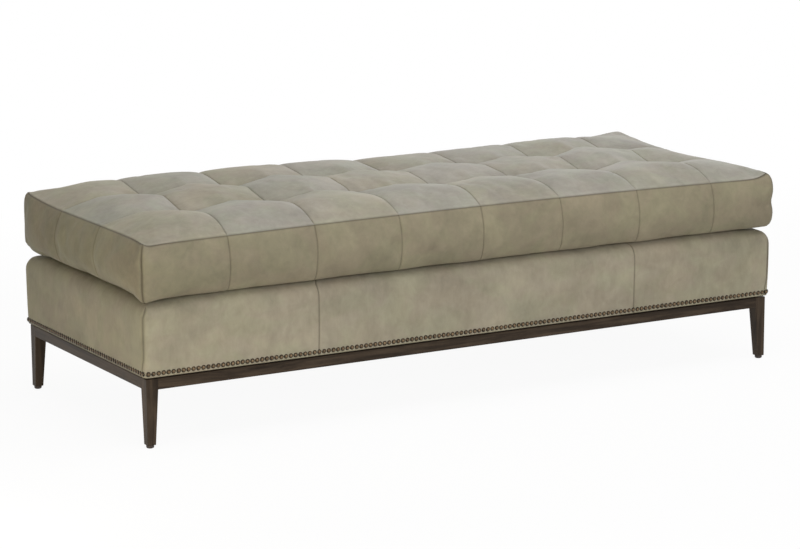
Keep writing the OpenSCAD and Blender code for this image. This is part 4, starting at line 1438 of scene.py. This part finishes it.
    def panel(self, name: str, side: Side, borders: Pair, tone: float) -> bpy.types.Object:
        """Make one leather panel.

        Args:
            name: The node that it stands for.
            side: The side that it is on.
            borders: Its ends along that side.
            tone: Its place between the cool and the warm tone.

        Returns:
            The panel.
        """
        points, normals = self.profile()
        columns, end = seam_lines(borders, self.column_step, self.seam_near), self.end_of(side)
        along, out = np.meshgrid(columns, points[:, 0])
        flat_share = np.clip((points[:, 0] + self.corner) / self.corner, 0, 1)
        drift = np.interp(self.share_up(points[:, 1]), self.drift_heights, self.drifts) * flat_share
        along = along + drift[:, None] * (bell(end + along, self.drift_reach) + bell(end - along, self.drift_reach))
        flat, facing = self.place(side, along, out)
        edge_gap = np.minimum(np.abs(columns - borders[0]), np.abs(columns - borders[1]))
        height = points[:, 1:] - self.z_low
        lower = np.clip(height / self.settle, 0, 1)
        wave = self.waves.at(along + self.wave_turn * side.value,
                             np.broadcast_to(height * self.wave_squeeze, along.shape))
        step = wave * lower * np.clip(normals[:, :1], 0, 1) - self.groove.at(edge_gap)
        spots = np.empty((*along.shape, 3))
        spots[..., :2] = flat + facing * (step * normals[:, :1])[..., None]
        spots[..., 2] = self.sunk(side, along, points[:, 1:] + step * normals[:, 1:])
        at_end = 0 if side.is_long else 1
        # dark: the dark seam lines, and painted shade along the lower edge.
        dark = np.maximum(self.seam_dark * bell(edge_gap, self.groove.width), self.hems[at_end].at(height))
        # paler: the strip under the nails, less the painted cushion shadow near the top.
        paler = (self.welt_light[at_end] * (1 - np.clip(height / self.welt_height, 0, 1))
                 - self.top_shade * np.clip(self.shade_start - (self.z_high - points[:, 1:]) / self.settle, 0, 1))
        surface = Surface()
        surface.quads(surface.add(spots, tone=tone, seam=dark, side=0.0, paler=paler,
                                  pucker=self.pucker.at(edge_gap) * lower, run=along))
        piece = thickened(surface.build(f"{name}_panel", self.finishes.by_slot["box_leather"]), self.leather)
        return handed_over(piece, BASE, "box_leather", name, fill=0.95)

    def edge_pad(self, side: Side) -> bpy.types.Object:
        """Make the foam under the leather along one side's top edge, cut square to its neighbours at the corners.

        Args:
            side: The side that it pads.

        Returns:
            The foam.
        """
        points, normals = self.profile()
        skin = (points - normals * (self.leather + self.foam_gap))[3:]
        z_top = self.z_high - self.leather - self.foam_gap
        z_shelf, board = self.shelf_z + self.foam_gap, self.board_out + self.foam_gap
        outline = np.concatenate([skin[:-1], [[-self.border, z_top], [-self.border, z_shelf], [board, z_shelf],
                                              [board, skin[0][1]]]])
        end = self.end_of(side) - self.foam_gap
        straight = (self.half_x if side.is_long else self.half_y) - self.corner
        turn = np.linspace(straight, end, 5)
        columns = np.concatenate([-turn[::-1], np.linspace(-straight, straight, 25)[1:-1], turn])
        run, out = np.meshgrid(columns, outline[:, 0], indexing="ij")
        spots = np.empty((*run.shape, 3))
        spots[..., :2] = self.place(side, run, out)[0]
        spots[..., 2] = outline[:, 1]
        top = len(skin) - 1
        spots[:, :top, 2] = self.sunk(side, run[:, :top], spots[:, :top, 2])
        surface = Surface()
        numbers = surface.add(spots)
        surface.quads(np.hstack([numbers, numbers[:, :1]]))
        surface.faces += [numbers[0][None], numbers[-1][None, ::-1]]
        name = f"{side.name.lower()}_edge"
        piece = turned_out(surface.build(f"{name}_padding", self.finishes.by_slot["foam"], smooth=False))
        return handed_over(piece, BASE, "foam", f"{name}_foam", fill=1.0)

    def sheet(self, name: str, node: str, lift: float, slot: str, thickness: float) -> bpy.types.Object:
        """Make a stretched cloth in place of a flat one.

        Args:
            name: The piece's name.
            node: The node that it stands for.
            lift: How far its waves rise and fall.
            slot: The slot of its finish.
            thickness: Its thickness.

        Returns:
            The cloth.
        """
        low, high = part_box(node)
        x, y = np.meshgrid(np.linspace(low.x, high.x, 90), np.linspace(low.y, high.y, 36))
        edge = np.minimum(np.minimum(x - low.x, high.x - x), np.minimum(y - low.y, high.y - y))
        waves = Waves(lift, self.sheet_wave, self.sheet_seed).at(x, y)
        z = high.z - (lift + waves) / 2 * (1 - bell(edge, self.tack_reach))
        surface = Surface()
        surface.quads(surface.add(np.stack([x, y, z], axis=-1)))
        piece = thickened(surface.build(name, self.finishes.by_slot[slot]), thickness)
        handed_over(piece, BASE, slot, node)
        return piece

    def build(self) -> None:
        """Make the leather panels, the padding under their edges, the deck cloth and the dust cover."""
        end_long, end_short = self.end_of(Side.FRONT), self.end_of(Side.LEFT)
        low, high = self.seams
        for name, side, borders, tone in (
                ("front_left", Side.FRONT, (-end_long, low), 0.1), ("front_middle", Side.FRONT, (low, high), -0.1),
                ("front_right", Side.FRONT, (high, end_long), 0.2),
                ("back_right", Side.BACK, (-end_long, -high), 0.0),
                ("back_middle", Side.BACK, (-high, -low), 0.15), ("back_left", Side.BACK, (-low, end_long), -0.1),
                ("left_end", Side.LEFT, (-end_short, end_short), 0.5),
                ("right_end", Side.RIGHT, (-end_short, end_short), 0.1)):
            self.panel(f"{name}_leather", side, borders, tone)
        for side in Side:
            self.edge_pad(side)
        self.sheet("deck_platform_cloth", "deck_cloth", 1.2 * MM, "black_cloth", 1.0 * MM)
        self.sheet("dust_cover_cloth", "dust_cover", 0.4 * MM, "black_cloth", 0.5 * MM)


@dataclass
class NailTrim:
    """The rows of domed nails along the box's lower edge."""

    finishes: Finishes
    dome: float = 3 * MM
    segments: int = 14
    seed: int = 7
    wobble: float = 0.18 * MM
    tilt: float = math.radians(5)
    pitch_share: float = 11.5 / 11
    outline: Table = ((0.3, 0.95), (0.58, 0.78), (0.8, 0.52), (0.94, 0.24), (1.0, 0.04), (1.0, -0.12))
    # Rubbed wear with a painted highlight, ring by ring from the top outwards.
    rubs: Row = (0.5, 0.22, 0.05, 0.0, 0.0, 0.0)

    def head(self, radius: float) -> bpy.types.Object:
        """Make one nail head with its rim, facing +Z, with a rubbed top that carries a painted highlight."""
        angles = np.linspace(0, 2 * math.pi, self.segments, endpoint=False)
        rings = np.array([[(radius * r * math.cos(a), radius * r * math.sin(a), self.dome * h) for a in angles]
                          for r, h in self.outline])
        surface = Surface()
        numbers = surface.add(rings, rub=np.array(self.rubs)[:, None])
        tip = surface.add(np.array([[0.0, 0.0, self.dome]]), rub=1.0)
        surface.quads(np.hstack([numbers, numbers[:, :1]]), flip=True)
        first = np.append(numbers[0], numbers[0, 0])
        surface.faces.append(np.stack([np.full(self.segments, tip[0]), first[:-1], first[1:]], axis=1))
        return surface.build("nail_head", self.finishes.by_slot["nail_bronze"])

    def tree(self) -> tuple[bpy.types.NodeTree, dict[str, str]]:
        """Build the tree that sets nails along a line.

        Returns:
            The tree, and its inputs' identifiers by name.
        """
        tree = bpy.data.node_groups.new("nail_row", "GeometryNodeTree")
        face = tree.interface
        face.new_socket("Geometry", in_out="OUTPUT", socket_type="NodeSocketGeometry")
        kinds = {"Start": "Vector", "End": "Vector", "Count": "Int", "Turn": "Vector", "Nail": "Object",
                 "Finish": "Material", "Seed": "Int", "Wobble": "Float", "Tilt": "Float"}
        names = {name: face.new_socket(name, in_out="INPUT", socket_type=f"NodeSocket{kind}").identifier
                 for name, kind in kinds.items()}
        graph = Graph(tree)
        given = {name: graph.node("NodeGroupInput", output=name) for name in kinds}

        def spread(size: str) -> Value:
            """Return a random vector whose parts reach the named size on either side of nothing."""
            return graph.node("FunctionNodeRandomValue", {"data_type": "FLOAT_VECTOR"},
                              {0: given[size] * -1.0, 1: given[size], "Seed": given["Seed"]})

        line = graph.node("GeometryNodeMeshLine", {"mode": "END_POINTS"},
                          {"Count": given["Count"], "Start Location": given["Start"], "Offset": given["End"]})
        moved = graph.node("GeometryNodeSetPosition", None, {"Geometry": line, "Offset": spread("Wobble")})
        nail = graph.node("GeometryNodeObjectInfo", None, {"Object": given["Nail"]}, output="Geometry")
        placed = graph.node("GeometryNodeInstanceOnPoints", None,
                            {"Points": moved, "Instance": nail, "Rotation": given["Turn"]})
        leaned = graph.node("GeometryNodeRotateInstances", None, {"Instances": placed, "Rotation": spread("Tilt")})
        real = graph.node("GeometryNodeRealizeInstances", None, [leaned])
        graph.close(graph.node("GeometryNodeSetMaterial", None, {"Geometry": real, "Material": given["Finish"]}))
        return tree, names

    def row(self, side: Side, tree: bpy.types.NodeTree, names: dict[str, str], head: bpy.types.Object) -> None:
        """Set one row of nails, as one plain mesh.

        Args:
            side: The side that it trims.
            tree: The tree that sets nails.
            names: The identifiers of the tree's inputs.
            head: The nail.
        """
        node = f"{side.name.lower()}_nail_row"
        low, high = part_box(node)
        radius = (high.z - low.z) / 2
        run = (high.x - low.x if side.is_long else high.y - low.y) / 2 - radius
        count = math.floor(run / (radius * self.pitch_share)) + 1
        face = {Side.FRONT: -low.y, Side.RIGHT: high.x, Side.BACK: high.y, Side.LEFT: -low.x}[side] - self.dome
        middle = side.outward * face + Vector((0, 0, (low.z + high.z) / 2))
        piece = bpy.data.objects.new(f"{node}_nails", bpy.data.meshes.new(node))
        bpy.context.scene.collection.objects.link(piece)
        modifier = piece.modifiers.new("nails", "NODES")
        modifier.node_group = tree
        values = {"Start": middle - side.along * run, "End": middle + side.along * run, "Count": count,
                  "Turn": Vector((-side.outward).to_track_quat("-Z", "Y").to_euler()), "Nail": head,
                  "Finish": self.finishes.by_slot["nail_bronze"], "Seed": self.seed + side.value,
                  "Wobble": self.wobble, "Tilt": self.tilt}
        for name, value in values.items():
            modifier[names[name]] = value
        handed_over(settled(piece), BASE, "nail_bronze", node)
        LOG.info("%s has %d nails", piece.name, count)

    def build(self) -> None:
        """Set the four rows."""
        low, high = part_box("front_nail_row")
        head, (tree, names) = self.head((high.z - low.z) / 2), self.tree()
        for side in Side:
            self.row(side, tree, names, head)
        bpy.data.objects.remove(head)


@dataclass
class LegFrame:
    """The dark wood frame: square tapered legs, flush aprons and a round glide under each leg."""

    finishes: Finishes
    soft_edge: float = 1.3 * MM
    joint_share: float = 0.12
    joint_gap: float = 0.12 * MM
    turns: int = 40
    glide_outline: Table = ((0.6, 0.0), (0.72, 0.03), (0.86, 0.12), (0.96, 0.28), (1.0, 0.45), (1.0, 0.9),
                            (0.97, 1.0))

    def __post_init__(self) -> None:
        """Take the sizes from the construction model."""
        low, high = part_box("front_left_leg")
        self.half_x, self.half_y = -low.x, -low.y
        self.width = high.x - low.x
        self.foot_z, self.apron_z, self.top_z = low.z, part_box("front_apron")[0].z, high.z
        self.feet = [mount["pos_m"] for mount in frame["record"]["mounts"]]
        self.foot_width = 2 * (self.half_x - abs(self.feet[0][0]))

    def wooden(self, name: str, rings: Sequence, grain: Axis, share: Callable[[Vector, Vector], float]) -> None:
        """Make a wooden piece with softened edges.

        Args:
            name: The node that it stands for.
            rings: Its rings of corners.
            grain: The way that its grain runs.
            share: Gives how much an edge is rounded, from its two ends.
        """
        surface = Surface()
        surface.prism(surface.add(np.array(rings)))
        made = turned_out(surface.build(f"{name}_solid", self.finishes.wood[grain], smooth=False))
        handed_over(bevelled(made, self.soft_edge, share), BASE, "espresso_wood", name)

    def leg_rounding(self, first: Vector, second: Vector) -> float:
        """Return how much a leg's edge is rounded: hardly where an apron meets it."""
        if abs(first.z - second.z) < MM:
            return 0.0 if abs(first.z - self.apron_z) < MM else 1.0
        beside_apron = max(first.z, second.z) > self.apron_z + MM
        at_corner = abs(first.x) > self.half_x - MM and abs(first.y) > self.half_y - MM
        return self.joint_share if beside_apron and not at_corner else 1.0

    def leg(self, name: str, sign_x: int, sign_y: int) -> None:
        """Make a leg: upright on its outer faces, tapered on its inner faces.

        Args:
            name: The node that it stands for.
            sign_x: Which end of the length it is at, -1 or 1.
            sign_y: Which end of the depth it is at, -1 or 1.
        """
        outer_x, outer_y = sign_x * self.half_x, sign_y * self.half_y
        rings = []
        for z, width in ((self.foot_z, self.foot_width), (self.apron_z, self.width), (self.top_z, self.width)):
            inner_x, inner_y = outer_x - sign_x * width, outer_y - sign_y * width
            rings.append([(outer_x, outer_y, z), (inner_x, outer_y, z), (inner_x, inner_y, z), (outer_x, inner_y, z)])
        self.wooden(name, rings, Axis.Z, self.leg_rounding)

    def apron(self, name: str, grain: Axis) -> None:
        """Make an apron between two legs, rounded hardly where it meets them.

        Args:
            name: The node that it stands for.
            grain: The way that it runs.
        """
        low, high = (Vector(corner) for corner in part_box(name))
        reach = (self.half_x if grain is Axis.X else self.half_y) - self.width - self.joint_gap
        low[grain.value], high[grain.value] = -reach, reach
        ring = [(low.x, low.y), (high.x, low.y), (high.x, high.y), (low.x, high.y)]
        self.wooden(name, [[(x, y, z) for x, y in ring] for z in (low.z, high.z)], grain,
                    lambda a, b: self.joint_share if abs(a[grain.value] - b[grain.value]) < MM else 1.0)

    def glides(self) -> None:
        """Make the four glides: low round pads with a soft lower edge."""
        radius = abs(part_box("leg_glides")[0].x) - abs(self.feet[0][0])
        angles = np.linspace(0, 2 * math.pi, self.turns, endpoint=False)
        surface = Surface()
        for x, y, _ in self.feet:
            surface.prism(surface.add(np.array(
                [[(x + radius * r * math.cos(a), y + radius * r * math.sin(a), self.foot_z * h) for a in angles]
                 for r, h in self.glide_outline])))
        piece = turned_out(surface.build("leg_glides_solid", self.finishes.by_slot["glide_plastic"]))
        handed_over(piece, BASE, "glide_plastic", "leg_glides")

    def build(self) -> None:
        """Make the legs, the aprons and the glides."""
        for depth, y in (("front", -1), ("back", 1)):
            for length, x in (("left", -1), ("right", 1)):
                self.leg(f"{depth}_{length}_leg", x, y)
        for side in (Side.FRONT, Side.BACK, Side.LEFT, Side.RIGHT):
            self.apron(f"{side.name.lower()}_apron", Axis.X if side.is_long else Axis.Y)
        self.glides()


@dataclass
class Studio:
    """The plain white studio: camera, soft lamps, floor and background."""

    frame_width: int = 800
    sensor: float = 36.0
    focal_pixels: float = 2752.0
    place: tuple[float, float, float] = (-3.103, -5.389, 1.500)
    yaw: float = math.radians(29.832)
    pitch: float = math.radians(11.517)
    roll: float = 0.0060
    ambient: float = 0.31
    ambient_tint: Rgba = (1.0, 0.955, 0.83, 1.0)
    floor_size: float = 14.0
    floor_light: float = 0.74
    floor_glow: float = 0.94
    floor_fade: Pair = (0.9, 2.4)

    def camera(self) -> None:
        """Set the camera where the photograph was taken from."""
        data = bpy.data.cameras.new("photo_camera")
        data.sensor_fit, data.sensor_width = "HORIZONTAL", self.sensor
        data.lens = self.sensor * self.focal_pixels / self.frame_width
        data.clip_start, data.clip_end = 0.1, 60.0
        ahead = Vector((math.sin(self.yaw) * math.cos(self.pitch), math.cos(self.yaw) * math.cos(self.pitch),
                        -math.sin(self.pitch)))
        right = Vector((math.cos(self.yaw), -math.sin(self.yaw), 0))
        above = right.cross(ahead)
        turned_right = right * math.cos(self.roll) - above * math.sin(self.roll)
        turned_above = above * math.cos(self.roll) + right * math.sin(self.roll)
        camera = bpy.data.objects.new("photo_camera", data)
        axes = Matrix((turned_right, turned_above, -ahead)).transposed().to_4x4()
        camera.matrix_world = Matrix.Translation(self.place) @ axes
        bpy.context.scene.collection.objects.link(camera)
        bpy.context.scene.camera = camera

    @staticmethod
    def lamp(name: str, spot: Vector, aim: Vector, size: Pair, power: float,
             tint: tuple[float, float, float]) -> None:
        """Hang a soft lamp.

        Args:
            name: The lamp's name.
            spot: Where it hangs.
            aim: What it points at.
            size: Its width and height.
            power: Its power in watts.
            tint: The colour of its light.
        """
        data = bpy.data.lights.new(name, "AREA")
        data.shape, data.size, data.size_y, data.energy, data.color = "RECTANGLE", size[0], size[1], power, tint
        lamp = bpy.data.objects.new(name, data)
        lamp.location = spot
        lamp.rotation_euler = (aim - spot).to_track_quat("-Z", "Y").to_euler()
        lamp.visible_camera = False
        bpy.context.scene.collection.objects.link(lamp)

    @staticmethod
    def shown(graph: Graph) -> Value:
        """Return 1 for the rays that show the background: the camera's, and those of gloss and of glass."""
        kinds = ("Is Camera Ray", "Is Glossy Ray", "Is Transmission Ray")
        camera, gloss, glass = (graph.node("ShaderNodeLightPath", output=kind) for kind in kinds)
        return (camera + gloss + glass).clipped()

    def floor(self) -> None:
        """Lay the pale floor, which shows white and keeps the ottoman's shadow."""
        graph = Graph(bpy.data.materials.new("studio_floor"))
        place, shown = graph.coordinates(), self.shown(graph)
        away = graph.node("ShaderNodeVectorMath", {"operation": "LENGTH"},
                          [graph.product(place, (0.6, 1.0, 0.0))], output="Value")
        pale = (self.floor_light, self.floor_light, self.floor_light * 0.99, 1.0)
        paper = (graph.noise(place, 3.0) - 0.5) * 0.02 + 0.95
        lit = graph.node("ShaderNodeBsdfPrincipled", None,
                         {"Base Color": graph.mix(shown, pale, (1.0, 1.0, 1.0, 1.0)), "Roughness": paper,
                          "Specular IOR Level": 0.0})
        white = graph.node("ShaderNodeEmission", None, {"Color": (1.0, 1.0, 1.0, 1.0), "Strength": 1.0})
        glow = shown * (away.ramp(*self.floor_fade) * (1 - self.floor_glow) + self.floor_glow)
        graph.close(graph.node("ShaderNodeMixShader", None, [glow, lit, white]))
        half = self.floor_size / 2
        surface = Surface()
        corners = np.array([[(-half, -half, 0.0), (half, -half, 0.0)], [(-half, half, 0.0), (half, half, 0.0)]])
        surface.quads(surface.add(corners))
        surface.build("studio_floor", graph.owner, smooth=False)

    def world(self) -> None:
        """Surround the studio with even light, and show white behind the ottoman."""
        world = bpy.data.worlds.new("studio")
        bpy.context.scene.world = world
        graph = Graph(world)
        even, white = (graph.node("ShaderNodeBackground", None, {"Color": colour, "Strength": strength})
                       for colour, strength in ((self.ambient_tint, self.ambient), ((1.0, 1.0, 1.0, 1.0), 1.0)))
        graph.close(graph.node("ShaderNodeMixShader", None, [self.shown(graph), even, white]))

    def build(self) -> None:
        """Set up the whole studio."""
        self.camera()
        self.world()
        self.floor()
        middle, cool = (0, 0, 0.3), (0.99, 0.99, 1.03)
        for name, spot, aim, size, power, tint in (
                ("overhead", (0.15, -0.8, 3.0), middle, (3.2, 2.2), 43.5, cool),
                ("front", (-0.2, -4.5, 1.6), middle, (2.4, 1.8), 57.0, cool),
                ("rear", (2.5, 2.7, 1.6), middle, (2.4, 1.8), 22.0, (0.96, 0.98, 1.06)),
                ("left", (-1.5, -0.75, 0.2), (-0.8, -0.25, 0.18), (0.5, 0.4), 2.35, (1.0, 0.93, 0.74))):
            self.lamp(f"{name}_softbox", Vector(spot), Vector(aim), size, power, tint)
        bpy.context.scene.view_settings.view_transform = "Standard"


def main() -> None:
    """Build the studio and the ottoman."""
    logging.basicConfig(level=logging.INFO, format="%(name)s: %(message)s")
    Studio().build()
    finishes = Finishes()
    finishes.dress_construction()
    LegFrame(finishes).build()
    LeatherBox(finishes).build()
    NailTrim(finishes).build()
    TuftedCushion(finishes).build()


if __name__ == "__main__":
    main()
